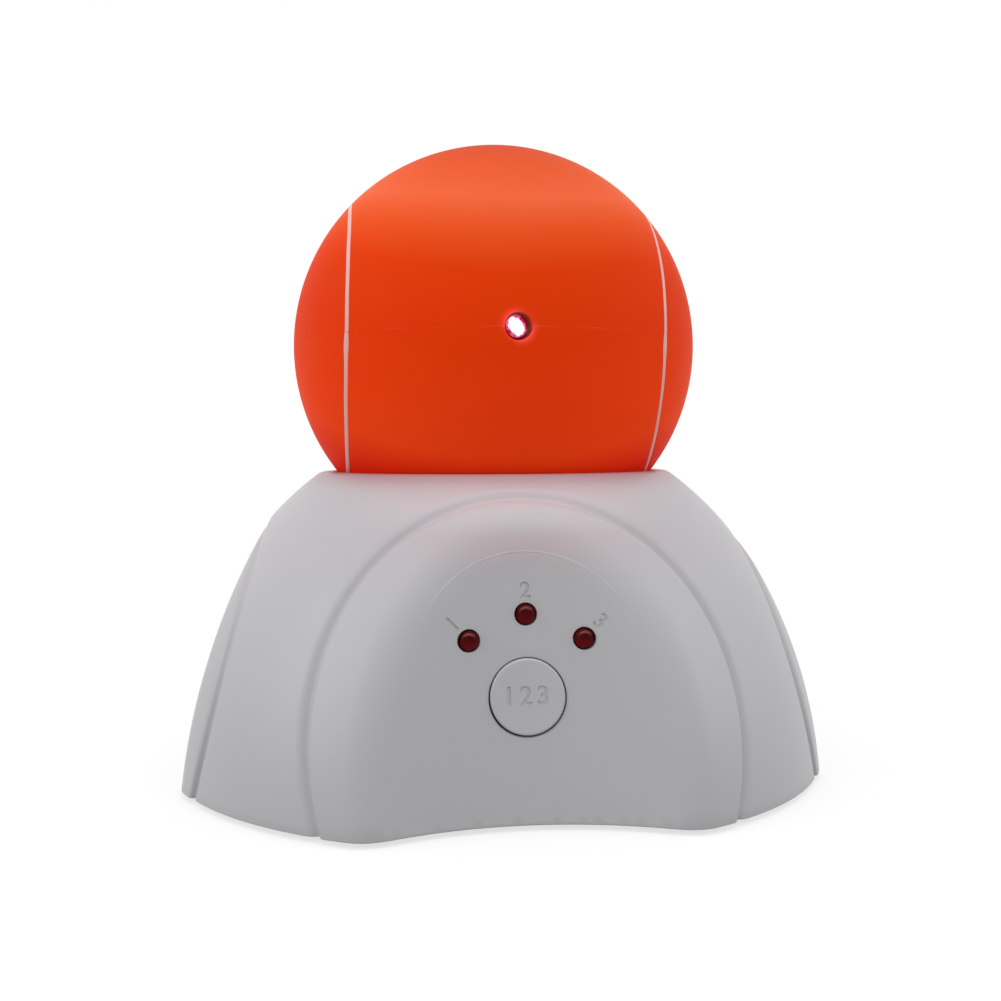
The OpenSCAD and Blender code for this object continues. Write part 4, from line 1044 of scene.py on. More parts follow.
def spread(border, loops, gap):
    """Points of a regular net that lie inside the border, outside the loops and clear of both."""
    low, high = np.min(border, 0), np.max(border, 0)
    levels = np.arange(low[1] + gap / 2, high[1], gap * net_row)
    net = np.array([(x + (k % 2) * gap / 2, h) for k, h in enumerate(levels)
                    for x in np.arange(low[0], high[0], gap)])
    edge = np.vstack([border, *loops])
    far = np.linalg.norm(net[:, None] - edge[None], axis=2).min(1) > gap * net_clear
    return net[between(net, border, loops) & far]


def field(skin, border, loops, depth, gap):
    """A patch whose points lie at depth(x, h) behind a flat border in the plane of (x, h)."""
    flat, faces = filled(border, loops, spread(border, loops, gap))
    skin.patch(np.insert(flat, 1, -depth(flat[:, 0], flat[:, 1]), axis=1), faces)


def engrave(skin, loops, surface):
    """Sunken strokes: walls down from each outline, and a floor."""
    for loop in loops:
        level = -surface(loop[:, 0], loop[:, 1])
        skin.grid([np.insert(loop, 1, level + sunk, axis=1) for sunk in (0, engraving)], closed=True)
        flat, faces = filled(loop, [], [])
        skin.patch(np.insert(flat, 1, -surface(flat[:, 0], flat[:, 1]) + engraving, axis=1), faces)


hole_loops = [circle(centre, radius + edge, count) for centre, radius, count, edge in holes]
print("loops in the front face:", len(hole_loops + numerals))

# %% [markdown]
# ## The bottom edge
# The shell ends a millimetre above the floor in a small roll. Its outline is collected side by
# side, from the arch rows and the dome patches, and moved inwards by the roll.

# %% Bottom outline
bottom_roll = 0.2
floor_points = 22


def face_border(rows):
    """The last row of an arch, closed along the floor, and the points of that closing line."""
    last = rows[-1][:, [0, 2]]
    floor_line = np.linspace(last[-1], last[0], floor_points + 1)[1:-1]
    return np.vstack([last, floor_line]), floor_line


def bottom_loop():
    """The outline of the shell where it ends above the floor, counterclockwise from above."""
    parts = []
    for k, (side, p) in enumerate(panels):
        rows = arches[k]
        x = face_border(rows)[1][:, 0]
        floor_line = np.stack([x, -panel_y(p, x, 0 * x), 0 * x], -1)
        around = np.vstack([rows[:, -1], floor_line, rows[:0:-1, 0], dome_patch(k)[0][:-1]])
        parts.append(turned_xy(around, side))
    return np.vstack(parts)


def shifted_in(loop, reach):
    """A flat counterclockwise loop, moved inwards by a small reach."""
    along = np.roll(loop, -1, axis=0) - np.roll(loop, 1, axis=0)
    along /= np.linalg.norm(along, axis=1, keepdims=True)
    return loop + reach * np.stack([-along[:, 1], along[:, 0], 0 * along[:, 0]], -1)


print("points round the bottom:", len(bottom_loop()))

# %% [markdown]
# ## All patches together
# The outside comes first, side by side, then the holes and numerals of the front, the rim, the
# inside, and the narrow ring that closes the wall at the bottom. Behind the front panel a block
# of the inside's grid is left out, and a field with the same four holes takes its place.

# %% The shell in one skin
block_reach, block_low, block_high = 9, 5, 19


def block_border():
    """The border, in x and h, of the block that a field fills."""
    grid = inside[block_low : block_high + 1][:, np.arange(-block_reach, block_reach + 1)]
    loop = np.vstack([grid[0], grid[1:, -1], grid[-1, -2::-1], grid[-2:0:-1, 0]])
    return loop[:, [0, 2]]


def in_block(i, j):
    return block_low <= i < block_high and (j < block_reach or j >= len(turns) - block_reach)


def add_outside(skin):
    skin.lowest = bottom_roll
    for k, (side, p) in enumerate(panels):
        skin.side = side
        loops = hole_loops + numerals if side == 0 else []
        skin.grid(arches[k])
        field(skin, face_border(arches[k])[0], loops, lambda x, h: panel_y(p, x, h),
              fine_gap if loops else face_gap)
        skin.grid(dome_patch(k))
    skin.side, skin.lowest = 0, None


def add_bottom(skin):
    outline = bottom_loop()
    foot = shifted_in(outline, bottom_roll)
    skin.grid(bend(outline + [0, 0, bottom_roll], outline, foot, 3), closed=True)
    flat, faces = filled(foot[:, :2], [inside[0][:, :2]], [])
    skin.patch(np.insert(flat, 2, 0, axis=1), faces)


def shell_mesh():
    skin = Skin()
    add_outside(skin)
    for hole in holes:
        skin.grid(hole_rows(*hole), closed=True)
    engrave(skin, numerals, front_y)
    skin.grid(rim_rows(), closed=True)
    skin.grid(inside, closed=True, leave_out=in_block)
    inner_loops = [circle(centre, radius, count) for centre, radius, count, _ in holes]
    field(skin, block_border(), inner_loops, inner_y, inner_gap)
    add_bottom(skin)
    return skin.mesh("base_shell", lift=shell_z)


shell = finished(shell_mesh(), "shell", shell_white, sharp_deg=50)

# %% [markdown]
# ## Turning and cutting
# Round parts are turned: a profile goes round an axis. Holes and grooves are cut afterwards
# with solid tools, as a machinist or a mould maker would, so their edges come out exact.


# %% Turned solids
def turned_mesh(name, profile, steps, place=lambda rows: rows):
    """A closed profile of (radius, height), turned about Z. place may move the finished points."""
    profile = np.asarray(profile, float)
    turn = np.linspace(0, 2 * np.pi, steps, endpoint=False)
    x, y = profile[:, :1] * np.cos(turn), profile[:, :1] * np.sin(turn)
    rows = np.stack([x, y, profile[:, 1:] + 0 * turn], -1)
    hollow = profile[0, 0] + profile[-1, 0] > 1e-6
    skin = Skin()
    skin.grid(place(np.concatenate([rows, rows[: int(hollow)]])), closed=True)
    return skin.mesh(name)


def aimed(axis, start):
    """A function that turns the Z axis into another axis and moves the origin to start."""
    turn = np.array(axis.to_track_quat("Z", "Y").to_matrix().transposed())

    def place(rows):
        return rows @ turn + np.array(start)

    return place


def rod_mesh(name, radius, start, end, steps):
    """A cylinder between two points, for a cut or a post."""
    axis = Vector(end) - Vector(start)
    profile = [(0, 0), (radius, 0), (radius, axis.length), (0, axis.length)]
    return turned_mesh(name, profile, steps, aimed(axis, Vector(start)))


def box_mesh(name, low, high):
    (x0, y0, z0), (x1, y1, z1) = low, high
    corners = [[(x, y, z) for x, y in ((x0, y0), (x1, y0), (x1, y1), (x0, y1))] for z in (z0, z1)]
    skin = Skin()
    skin.grid(corners, closed=True)
    skin.patch(corners, [[3, 2, 1, 0], [4, 5, 6, 7]])
    return skin.mesh(name)


# %% [markdown]
# ## One cut after the other
# A cut is a modifier that is applied at once, so that every piece stays a plain mesh. The tool
# of a cut is an object of its own for a moment, and is removed when the cut is made.


# %% Cuts and unions
def settled(piece, kind, **settings):
    """Apply one modifier to a piece and keep the plain mesh."""
    step = piece.modifiers.new("step", kind)
    for key, value in settings.items():
        setattr(step, key, value)
    result = evaluated(piece)
    piece.modifiers.clear()
    result.name = piece.name
    piece.data = result
    return piece


def cut(piece, tools, operation="DIFFERENCE", sharp_deg=40):
    """Take the tools away from a piece, or add them to it, and leave one clean mesh."""
    material = piece.data.materials[0]
    for tool in tools:
        tool = finished(tool, "tool", material) if isinstance(tool, bpy.types.Mesh) else tool
        settled(piece, "BOOLEAN", operation=operation, object=tool, solver="MANIFOLD")
        bpy.data.objects.remove(tool)
    piece.data.set_sharp_from_angle(angle=math.radians(sharp_deg))
    return piece


# %% [markdown]
# ## Trees that repeat a piece
# Screws, feet, posts and ribs come in sets. Geometry Nodes make the sets: the piece is modelled
# once, and a tree puts copies of it on the corners of a rectangle, round a ring or along a row.
# Each tree has its sizes as named inputs, and it ends in Realize Instances and Set Material.


# %% Geometry Nodes with named inputs
class Grower(Graph):
    """A Geometry Nodes tree. Its geometry input is the piece or the points that it works on."""

    def __init__(self, name, **sizes):
        super().__init__(bpy.data.node_groups.new(name, "GeometryNodeTree"))
        face = self.tree.interface
        for way in ("INPUT", "OUTPUT"):
            face.new_socket("Geometry", in_out=way, socket_type="NodeSocketGeometry")
        for label, value in sizes.items():
            kind = "NodeSocketInt" if isinstance(value, int) else "NodeSocketFloat"
            face.new_socket(label, in_out="INPUT", socket_type=kind).default_value = value
        face.new_socket("Material", in_out="INPUT", socket_type="NodeSocketMaterial")
        self.start = self.tree.nodes.new("NodeGroupInput")

    def given(self, label="Geometry"):
        return Link(self, self.start.outputs[label])

    def vector(self, **parts):
        """A vector whose X, Y or Z is given. The parts that aren't named are 0."""
        return self.node("ShaderNodeCombineXYZ", None, parts)

    def copies_on(self, points, piece, rotation):
        inputs = {"Points": points, "Instance": piece, "Rotation": rotation}
        return self.node("GeometryNodeInstanceOnPoints", None, inputs)

    def ends_with(self, copies):
        real = self.node("GeometryNodeRealizeInstances", None, {0: copies})
        inputs = {"Geometry": real, "Material": self.given("Material")}
        dressed = self.node("GeometryNodeSetMaterial", None, inputs)
        self.put(self.tree.nodes.new("NodeGroupOutput").inputs[0], dressed)
        return self.tree


# %% [markdown]
# Three trees differ only in where the copies stand. Each copy may be turned by chance, which
# is how the heads of screws come to rest.

# %% Corners, rings and rows
spin_seed = 7


def repeat_tree(name, places, **sizes):
    """A tree that puts its piece on places(grower), each copy turned by chance up to Spin."""
    g = Grower(name, **sizes, Spin=0.0)
    limits = {2: 0.0, 3: g.given("Spin"), 8: spin_seed}
    chance = g.node("FunctionNodeRandomValue", {"data_type": "FLOAT"}, limits, output=1)
    return g.ends_with(g.copies_on(places(g), g.given(), g.vector(Z=chance)))


def corner_places(g):
    return g.node("GeometryNodeMeshGrid", None, {"Size X": g.given("Across"), "Size Y": g.given("Along"),
                                                 "Vertices X": 2, "Vertices Y": 2})


def ring_places(g):
    inputs = {"Vertices": g.given("Count"), "Radius": g.given("Reach")}
    ring, turn = g.node("GeometryNodeMeshCircle", None, inputs), g.vector(Z=g.given("Phase"))
    return g.node("GeometryNodeTransform", None, {"Geometry": ring, "Rotation": turn})


def row_places(g):
    offset = g.vector(Y=g.given("Step"))
    return g.node("GeometryNodeMeshLine", {"mode": "OFFSET"}, {"Count": g.given("Count"), "Offset": offset})


on_corners = repeat_tree("on corners", corner_places, Across=0.1, Along=0.1)
in_ring = repeat_tree("in a ring", ring_places, Count=3, Reach=0.02, Phase=0.0)
in_row = repeat_tree("in a row", row_places, Count=4, Step=0.002)
print("trees:", [tree.name for tree in bpy.data.node_groups])

# %% [markdown]
# A tree is run on a mesh by a modifier. Its inputs are set by their identifiers, which the
# tree's interface tells for each name, and the result is kept as one plain mesh.


# %% Run a tree
def grown(mesh, tree, name, material, place=(0, 0, 0), **sizes):
    """Run a tree on a mesh, keep the result as one plain mesh, and move it to its place in mm."""
    carrier = in_scene(name, mesh)
    step = carrier.modifiers.new("grow", "NODES")
    step.node_group = tree
    for item in tree.interface.items_tree:
        if item.in_out == "INPUT" and item.name in sizes:
            step[item.identifier] = sizes[item.name]
        elif item.name == "Material":
            step[item.identifier] = material
    result = evaluated(carrier)
    bpy.data.objects.remove(carrier)
    result.transform(Matrix.Translation(Vector(place) * MM))
    return finished(result, name, material)


def corners_at(reach, degrees):
    """The rectangle whose corners lie at a reach and at a turn from the front."""
    a = math.radians(degrees)
    return dict(Across=2 * reach * math.sin(a) * MM, Along=2 * reach * math.cos(a) * MM)


def ring_at(count, reach, degrees=0.0):
    return dict(Count=count, Reach=reach * MM, Phase=math.radians(degrees))


# %% [markdown]
# ## The ball's two shells
# The ball is moulded as two shells that meet at the seam, one sliding over the other's lip.
# Each has a fine chamfer at the seam, so the joint shows as a thin line, as it does on the
# real toy. Both are turned from a profile of arcs, round the toy's upright axis.

# %% Profiles of the shells
ball_wall = 2.0
ball_cut = 32.9
lip_h = 1.5
seat = 0.15
seam_bevel = 0.04
floor_bevel = 0.4
ball_steps = 240
floor_z = ball_z - ball_cut
cut_r = math.sqrt(ball_r**2 - ball_cut**2)
inner_ball_r = ball_r - ball_wall
lip_r = math.sqrt(inner_ball_r**2 - seam_rise**2)
lip_out, lip_in = lip_r + ball_wall / 2, lip_r - ball_wall / 4
lip_top = seam_z + lip_h


def ball_arc(radius, low, high, steps):
    """Points of a circle's right half between two heights, both measured from the ball's centre."""
    angles = np.linspace(math.asin(low / radius), math.asin(high / radius), steps + 1)
    return [(radius * math.cos(a), ball_z + radius * math.sin(a)) for a in angles]


def lower_profile():
    outside = ball_arc(ball_r, -ball_cut + floor_bevel, seam_rise - seam_bevel, 80)
    foot_edge = bend((cut_r - floor_bevel, floor_z), (cut_r, floor_z), outside[0], 3)
    seam = [(seam_r - seam_bevel, seam_z), (lip_out - seat, seam_z), (lip_out - seat, lip_top),
            (lip_in, lip_top), (lip_in, seam_z - lip_h)]
    hollow = ball_arc(inner_ball_r, seam_rise - lip_h, -ball_cut + ball_wall, 40)
    return [(0, floor_z), *map(tuple, foot_edge), *outside[1:], *seam, *hollow, (0, floor_z + ball_wall)]


def upper_profile():
    outside = ball_arc(ball_r, seam_rise + seam_bevel, ball_r, 84)
    hollow = ball_arc(inner_ball_r, inner_ball_r, seam_rise + lip_h + seat, 40)
    return [(seam_r - seam_bevel, seam_z), *outside, *hollow, (lip_out, lip_top + seat), (lip_out, seam_z)]


lower_shell = finished(turned_mesh("ball_lower", lower_profile(), ball_steps), "ball_lower", ball_orange)
upper_shell = finished(turned_mesh("ball_upper", upper_profile(), ball_steps), "ball_upper", ball_orange)

# %% [markdown]
# ## White lines
# The lines run round the ball like the rings of a globe laid on its side. On the toy they are
# paint in a groove, put on with a pad held by hand, so they aren't quite straight: groove and
# paint follow the same slightly wavering path. The path is a sum of a lean, a bow and waves.

# %% Course of the lines
line_offset, line_out = 30.4, 0.17
line_ring_r = math.sqrt(ball_r**2 - line_offset**2)
line_shift, line_tilt, line_bow, line_step = -0.45, 0.024, 0.001, 0.07
# What each stretch strays by hand: sideways, and more with the square of its height
line_stray = {(-1, 1): (0.0, -0.0006), (-1, -1): (0.1, -0.0001),
              (1, 1): (0.0, 0.0), (1, -1): (0.1, 0.0005)}
# The waves: their reach in millimetres, how often they come round, and their start
line_waves = ((0.03, 3, 1), (0.02, 7, 2), (0.012, 17, 0))


def line_course(side, half, turn):
    """Sideways place of a line's middle all round. half is 1 on the upper shell, -1 on the lower."""
    height = line_ring_r * np.sin(turn)
    waver = sum(reach * np.sin(often * turn + start * side) for reach, often, start in line_waves)
    aside, curve = line_stray[side, half]
    course = side * (line_offset + line_out - line_bow * height**2) + line_shift + line_tilt * height
    return course + line_step * half + waver + aside + curve * height**2


print("lines at the seam:", [round(float(line_course(side, 1, 0.0)), 2) for side in (-1, 1)], "mm aside")

# %% [markdown]
# A flat section, square for the groove and rounded for the paint, is carried round the ball
# along the course. It always stands square on the ball, so the groove is equally deep all
# round. Just below the seam, where a stroke of the pad begins, the lines are a little wider.

# %% A ring along the course
swell, swell_at, swell_h = 0.3, 2.6, 1.8  # how much wider, how far below the seam, over what height
ring_steps = 360


def ring_mesh(name, side, half, section):
    """A ring about the ball that carries a flat section of (radius, sideways) along a line's course."""
    turn = np.linspace(0, 2 * np.pi, ring_steps, endpoint=False)
    lean = np.arcsin(line_course(side, half, turn) / ball_r)
    height = line_ring_r * np.sin(turn) + ball_z - seam_z
    wider = 1 + swell * np.exp(-((height - swell_at * half) / swell_h) ** 2) * (half < 0)
    rows = []
    for u, v in section + section[:1]:
        v = v * wider
        reach = u * np.cos(lean) - v * np.sin(lean)
        aside = u * np.sin(lean) + v * np.cos(lean)
        rows.append(np.stack([aside, reach * np.cos(turn), reach * np.sin(turn) + ball_z], -1))
    skin = Skin()
    skin.grid(rows, closed=True)
    return skin.mesh(name)


print("ring of a line: radius", round(line_ring_r, 2), "mm")

# %% [markdown]
# ## Groove and bore
# The groove's tool is a ring whose section reaches out of the ball. The laser looks out through a
# stepped bore in the seam: a small hole with a fine countersink in front, and behind it a wider
# bore that holds the laser's can. It leans back with the laser by a few degrees.

# %% Tools that cut the ball
line_w, line_depth = 1.1, 0.4
can_r, can_recess = 3.0, 2.9
bore_len, bore_sink = 14, 0.14
laser_tilt = math.radians(5)
laser_axis = Vector((0, math.cos(laser_tilt), math.sin(laser_tilt)))
laser_mouth = Vector((0, -seam_r, seam_z))
along_laser = aimed(laser_axis, laser_mouth)


def groove(side, half):
    inside, outside = ball_r - line_depth, ball_r + 1
    return ring_mesh("groove", side, half, [(inside, -line_w / 2), (outside, -line_w / 2),
                                            (outside, line_w / 2), (inside, line_w / 2)])


def laser_bore():
    """The stepped bore with its countersink, turned along the laser's axis."""
    sink_r, bore_r, step = hole_r + bore_sink, can_r + seat, can_recess - seat
    profile = [(0, -1), (sink_r + 1, -1), (sink_r, 0), (hole_r, bore_sink * 1.3), (hole_r, step),
               (bore_r, step), (bore_r, bore_len), (0, bore_len)]
    return turned_mesh("bore", profile, 96, along_laser)


print("bore: radius", hole_r, "then", can_r + seat, "mm")

# %% [markdown]
# ## Columns and bosses in the ball
# Inside, three columns take the screws that join the shells, three bosses hold the ball to the
# turntable below it, and a cradle carries the laser. Grown as sets and trimmed by a slightly
# smaller sphere, they are melted into the shells before the holes are drilled.

# %% Columns, bosses and the laser's cradle
columns, turntable_bosses = ring_at(3, 22.5), ring_at(3, 16.5, 60)
column_r, boss_r, boss_h = 3.2, 3.0, 8
cradle_half, cradle_from, cradle_to = 9, 8, 13
rods_from = floor_z + ball_wall / 4
laser_frame = Matrix.Translation(laser_mouth * MM) @ Matrix.Rotation(laser_tilt, 4, "X")


def in_laser_frame(mesh):
    mesh.transform(laser_frame)
    return mesh


def drill(radius, low, high):
    return rod_mesh("drill", radius, (0, 0, low), (0, 0, high), 32)


def set_of(mesh, **sizes):
    """The mesh three times in a ring, as one piece."""
    return grown(mesh, in_ring, "set", ball_orange, **sizes)


def trimmed(pieces):
    """Pieces melted together, as far as they lie inside the middle of the ball's wall."""
    core_r = ball_r - ball_wall / 2
    core = turned_mesh("core", ball_arc(core_r, ball_wall / 2 - ball_r, core_r, 60), 120)
    return cut(cut(pieces[0], pieces[1:], "UNION"), [core], "INTERSECT")


cradle = box_mesh("cradle", (-cradle_half, cradle_from, -ball_r), (cradle_half, cradle_to, -seat))
lower_rods = [
    set_of(drill(column_r, rods_from, seam_z), **columns),
    set_of(drill(boss_r, rods_from, floor_z + boss_h), **turntable_bosses),
    in_laser_frame(cradle)]
cut(lower_shell, [trimmed(lower_rods)], "UNION")
cut(upper_shell, [trimmed([set_of(drill(column_r, lip_top + seat, ball_z + ball_r), **columns)])], "UNION")

# %% [markdown]
# The columns get a wide hole for the screw's head from below and a narrow one for its shaft,
# the bosses and the clamp get pilot holes that are thinner than the thread, and the wires to the
# laser pass through a hole in the ball's floor.

# %% Drilling and cutting the grooves
head_hole_r, shaft_hole_r, pilot_r, clamp_pilot_r, wire_hole_r = 2.4, 1.3, 1.15, 1.05, 1.6
column_head_depth, column_thread, boss_pilot_h = 6, 8, 7
clamp_x, clamp_y, wire_y = 6, (cradle_from + cradle_to) / 2, 10

lower_holes = [
    set_of(drill(head_hole_r, floor_z - 1, seam_z - column_head_depth), **columns),
    set_of(drill(shaft_hole_r, floor_z, seam_z + 1), **columns),
    set_of(drill(pilot_r, floor_z - 1, floor_z + boss_pilot_h), **turntable_bosses),
    rod_mesh("wire", wire_hole_r, (0, wire_y, floor_z - 1), (0, wire_y, floor_z + 3), 32)]
lower_holes += [in_laser_frame(rod_mesh("pilot", clamp_pilot_r, (x, clamp_y, -6), (x, clamp_y, 1), 24))
                for x in (-clamp_x, clamp_x)]
upper_holes = [set_of(drill(pilot_r, seam_z, seam_z + column_thread + 1), **columns)]
for piece, half, more in ((lower_shell, -1, lower_holes), (upper_shell, 1, upper_holes)):
    cut(piece, [groove(-1, half), groove(1, half), laser_bore(), *more])
    print(piece.name, len(piece.data.polygons), "faces after the cuts")

# %% [markdown]
# ## Paint in the grooves
# Paint isn't a colour on the ball here, but a bead of its own that lies in the groove and
# stands a hair proud of the ball, so that its rounded edges catch the light. Each shell
# keeps its half of the beads, because the shells part at the seam.

# %% Paint in the grooves
line_gap, line_proud = 0.03, 0.05
seam_gap, past_ball = 0.02, 90


def paint(name, half):
    """Both white lines of one shell: rounded like a bead of thick paint, and cut at the seam."""
    w, top = line_w / 2 - line_gap, ball_r + line_proud - 0.01
    right_half = [(ball_r - line_depth + line_gap, w), (ball_r - 0.04, w),
                  (ball_r + 0.01, w * 0.8), (top, w * 0.4)]
    section = [(u, -v) for u, v in right_half] + right_half[::-1]
    bead = finished(ring_mesh(name, -1, half, section), name, line_paint, sharp_deg=60)
    cut(bead, [ring_mesh("bead", 1, half, section)], "UNION")
    low, high = sorted((seam_z + half * seam_gap, seam_z + half * past_ball))
    return cut(bead, [box_mesh("half", (-60, -60, low), (60, 60, high))], "INTERSECT")


upper_line, lower_line = paint("line_upper", 1), paint("line_lower", -1)
print("lines:", len(upper_line.data.polygons), len(lower_line.data.polygons), "faces")

for piece, node in ((lower_shell, "ball_lower_shell"), (upper_shell, "ball_upper_shell"),
                    (upper_line, "upper_line_fill"), (lower_line, "lower_line_fill")):
    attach(piece, "ball")
    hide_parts(node)

# %% [markdown]
# ## The mode button
# The button's cap continues the panel's hollow curve and stands a little proud. Its edge is
# rounded, which gives the light ring just inside the dark gap. Three plain numerals are sunk
# into it. Behind the panel a flange keeps it in, and a stem reaches the switch.

# %% Measures of the button
button_proud, button_dish, button_bevel = 0.4, 0.12, 0.42
flange_w, flange_t, stem_r, stem_len, flange_edge = 1.6, 1.2, 2.0, 1.2, 0.2
collar_gap = 0.3
front_lean = math.radians(front_panel["face_lean"])


def behind_panel(x, h, radius):
    """How far forward a flat collar may lie behind the leaning wall of the front panel."""
    wall_back = face_y(front_panel, x, h) - wall / math.cos(front_lean)
    return wall_back - math.tan(front_lean) * radius - collar_gap


flange_r = button_r + flange_w
flange_front = behind_panel(*button_place, flange_r)
flange_back = flange_front - flange_t
stem_back = flange_back - stem_len


def cap_y(x, h):
    """The cap's face, dished a little more than the panel round it."""
    away = np.hypot(x - button_place[0], h - button_place[1]) / button_r
    return face_y(front_panel, x, h) + button_proud - button_dish * (1 - away**2)


def below_cap(x, h):
    return cap_y(x, h) - button_bevel


print("button: flange", round(float(flange_front), 2), "stem", round(float(stem_back), 2), "mm ahead")

# %% [markdown]
# The button's skin begins with the cap, a field with the numerals' strokes left out. From its
# border rows lead round the edge, down the side, over the flange and along the stem.

# %% Button from cap to stem
button_lift = 0.12  # the button sits a little high in its hole, so the gap is widest below
button_steps, cap_gap = 96, 0.8
mark_h, mark_up = 3.4, 0.2


def button_mesh():
    skin = Skin()
    marks = outlines("123", mark_h, np.array(button_place) + [0, mark_up])
    cap_r = button_r - button_bevel
    field(skin, circle(button_place, cap_r, button_steps), marks, cap_y, cap_gap)
    engrave(skin, marks, cap_y)
    corner = ((cap_r, cap_y), (button_r, cap_y), (button_r, below_cap))
    rows = bend(*(loop_at(*q, button_place, button_steps) for q in corner), 6)
    behind = ((button_r, flange_front), (flange_r - flange_edge, flange_front),
              (flange_r, flange_front - flange_edge), (flange_r, flange_back), (stem_r, flange_back),
              (stem_r, stem_back + flange_edge), (stem_r - flange_edge, stem_back), (0.001, stem_back))
    rows += [loop_at(*q, button_place, button_steps) for q in behind]
    skin.grid(rows, closed=True)
    skin.patch(rows[-1], [list(range(button_steps))])
    return skin.mesh("button", lift=shell_z + button_lift)


button = finished(button_mesh(), "button", button_white, sharp_deg=50)
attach(button, "mode_button")
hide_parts("mode_button")

# %% [markdown]
# ## Indicator lights
# Each light is a bullet of clear red resin: a cylinder with a half ball for its head and a flat
# collar behind the panel. Two wires lead from it to the control board and are soldered there.

# %% Lights
led_proud, led_collar, collar_t, collar_edge = 1.0, 0.4, 1, 0.1
light_steps, head_steps = 64, 18


def light_mesh(name, place):
    x, h = place
    collar_r = led_r + led_collar
    tip = face_y(front_panel, x, h) + led_proud
    collar = behind_panel(x, h, collar_r)
    profile = [(collar_r - collar_edge, collar - collar_t), (collar_r, collar - collar_t + collar_edge),
               (collar_r, collar - collar_edge), (collar_r - collar_edge, collar), (led_r, collar)]
    profile += [(led_r * math.cos(a), tip - led_r + led_r * math.sin(a))
                for a in np.linspace(0, np.pi / 2, head_steps + 1)[:-1]]
    skin = Skin()
    skin.grid([loop_at(r, y, place, light_steps) for r, y in profile], closed=True)
    skin.patch([(x, -tip, h)], [])
    last, top = (len(profile) - 1) * light_steps, len(profile) * light_steps
    skin.faces += [[last + i, last + (i + 1) % light_steps, top] for i in range(light_steps)]
    skin.faces += [list(range(light_steps))]
    return skin.mesh(name, lift=shell_z), collar - collar_t


light_feet = []
for name, place in zip(led_names, led_places):
    mesh, foot_y = light_mesh(name, place)
    lamp_piece = finished(mesh, "lens_" + name[4:], led_red)
    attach(lamp_piece, "base")
    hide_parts(name)
    light_feet.append((place[0], foot_y, place[1] + shell_z))
print("lights:", len(light_feet))

# %% [markdown]
# The wires of the lights aren't in the construction, because they fix nothing. They are one
# piece of the picture alone, and ride on the base.

# %% Legs of the lights
leg_r, leg_x = 0.27, 1.2
switch_h, plunger_len = 3.4, 2
board_front = stem_back - plunger_len - switch_h


def leg_mesh(x, foot_y, z):
    return rod_mesh("leg", leg_r, (x, -foot_y - 0.3, z), (x, -board_front, z), 12)


leg_meshes = [leg_mesh(x + aside, foot_y, z) for x, foot_y, z in light_feet for aside in (-leg_x, leg_x)]
legs = cut(finished(leg_meshes[0], "led_legs", steel), leg_meshes[1:], "UNION")
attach(legs, "base")
print("legs:", len(legs.data.polygons), "faces")

# %% [markdown]
# ## Laser module
# The laser is a brass can with a small glass lens set just behind its mouth. Seen through the
# hole in the ball, the lens is overexposed: a ragged white patch with pink and dark red round
# it. Can and lens are turned along the laser's tilted axis.

# %% Laser can and lens
can_len, glass_r, chamfer = 13.0, 2.1, 0.2
ring_from, ring_to, ring_in = can_recess + 4, can_recess + 4.72, 0.12
can_end = can_recess + can_len

can_profile = [(glass_r, can_recess + 0.15), (glass_r + 0.15, can_recess), (can_r - chamfer, can_recess),
               (can_r, can_recess + chamfer), (can_r, ring_from), (can_r - ring_in, ring_from + ring_in),
               (can_r - ring_in, ring_to - ring_in), (can_r, ring_to), (can_r, can_end - chamfer),
               (can_r - chamfer, can_end), (glass_r, can_end), (glass_r, can_recess + 3.0)]
can = finished(turned_mesh("laser_can", can_profile, 72, along_laser), "laser_can", barrel_brass)

lens_r, lens_front, lens_back, lens_bulge = glass_r - 0.03, can_recess + 0.7, can_recess + 2.9, 3.2
lens_profile = [(r, lens_front + lens_bulge - math.sqrt(lens_bulge**2 - r**2))
                for r in np.linspace(0.0, lens_r, 13)]
lens_profile += [(lens_r, lens_back), (0, lens_back)]
glass = finished(turned_mesh("laser_glass", lens_profile, 64, along_laser), "laser_glass", lens_glow)
for piece, node in ((can, "laser_barrel"), (glass, "laser_lens")):
    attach(piece, "ball")
    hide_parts(node)

# %% [markdown]
# ## Screws
# Self-tapping screws for plastic have a pan head with a cross recess, and a coarse thread. The
# thread is a real helix: each point's radius follows from its height and its turn. The heads
# are left at random angles, as an assembly line leaves them.

# %% A screw
head_extra, head_h = 2.2, 1.5
screw_pitch, screw_sides, rows_per_turn = 1.25, 28, 8
thread_depth, thread_from, tip_len, tip_r = 0.3, 0.5, 1.6, 0.2
recess_depth = 0.85
screw_turn = np.linspace(0, 2 * np.pi, screw_sides, endpoint=False)


def screw_ring(radius, z):
    radius = radius + 0 * screw_turn
    return np.stack([radius * np.cos(screw_turn), radius * np.sin(screw_turn), z + 0 * screw_turn], -1)


def thread_r(core_r, z):
    """Radius of the thread all round at a height: a ridge that climbs by the pitch in a turn."""
    phase = (z / screw_pitch - screw_turn / (2 * np.pi)) % 1
    return core_r - thread_depth * np.clip(np.abs(phase - 0.5) * 3.2 - 0.2, 0, 1)


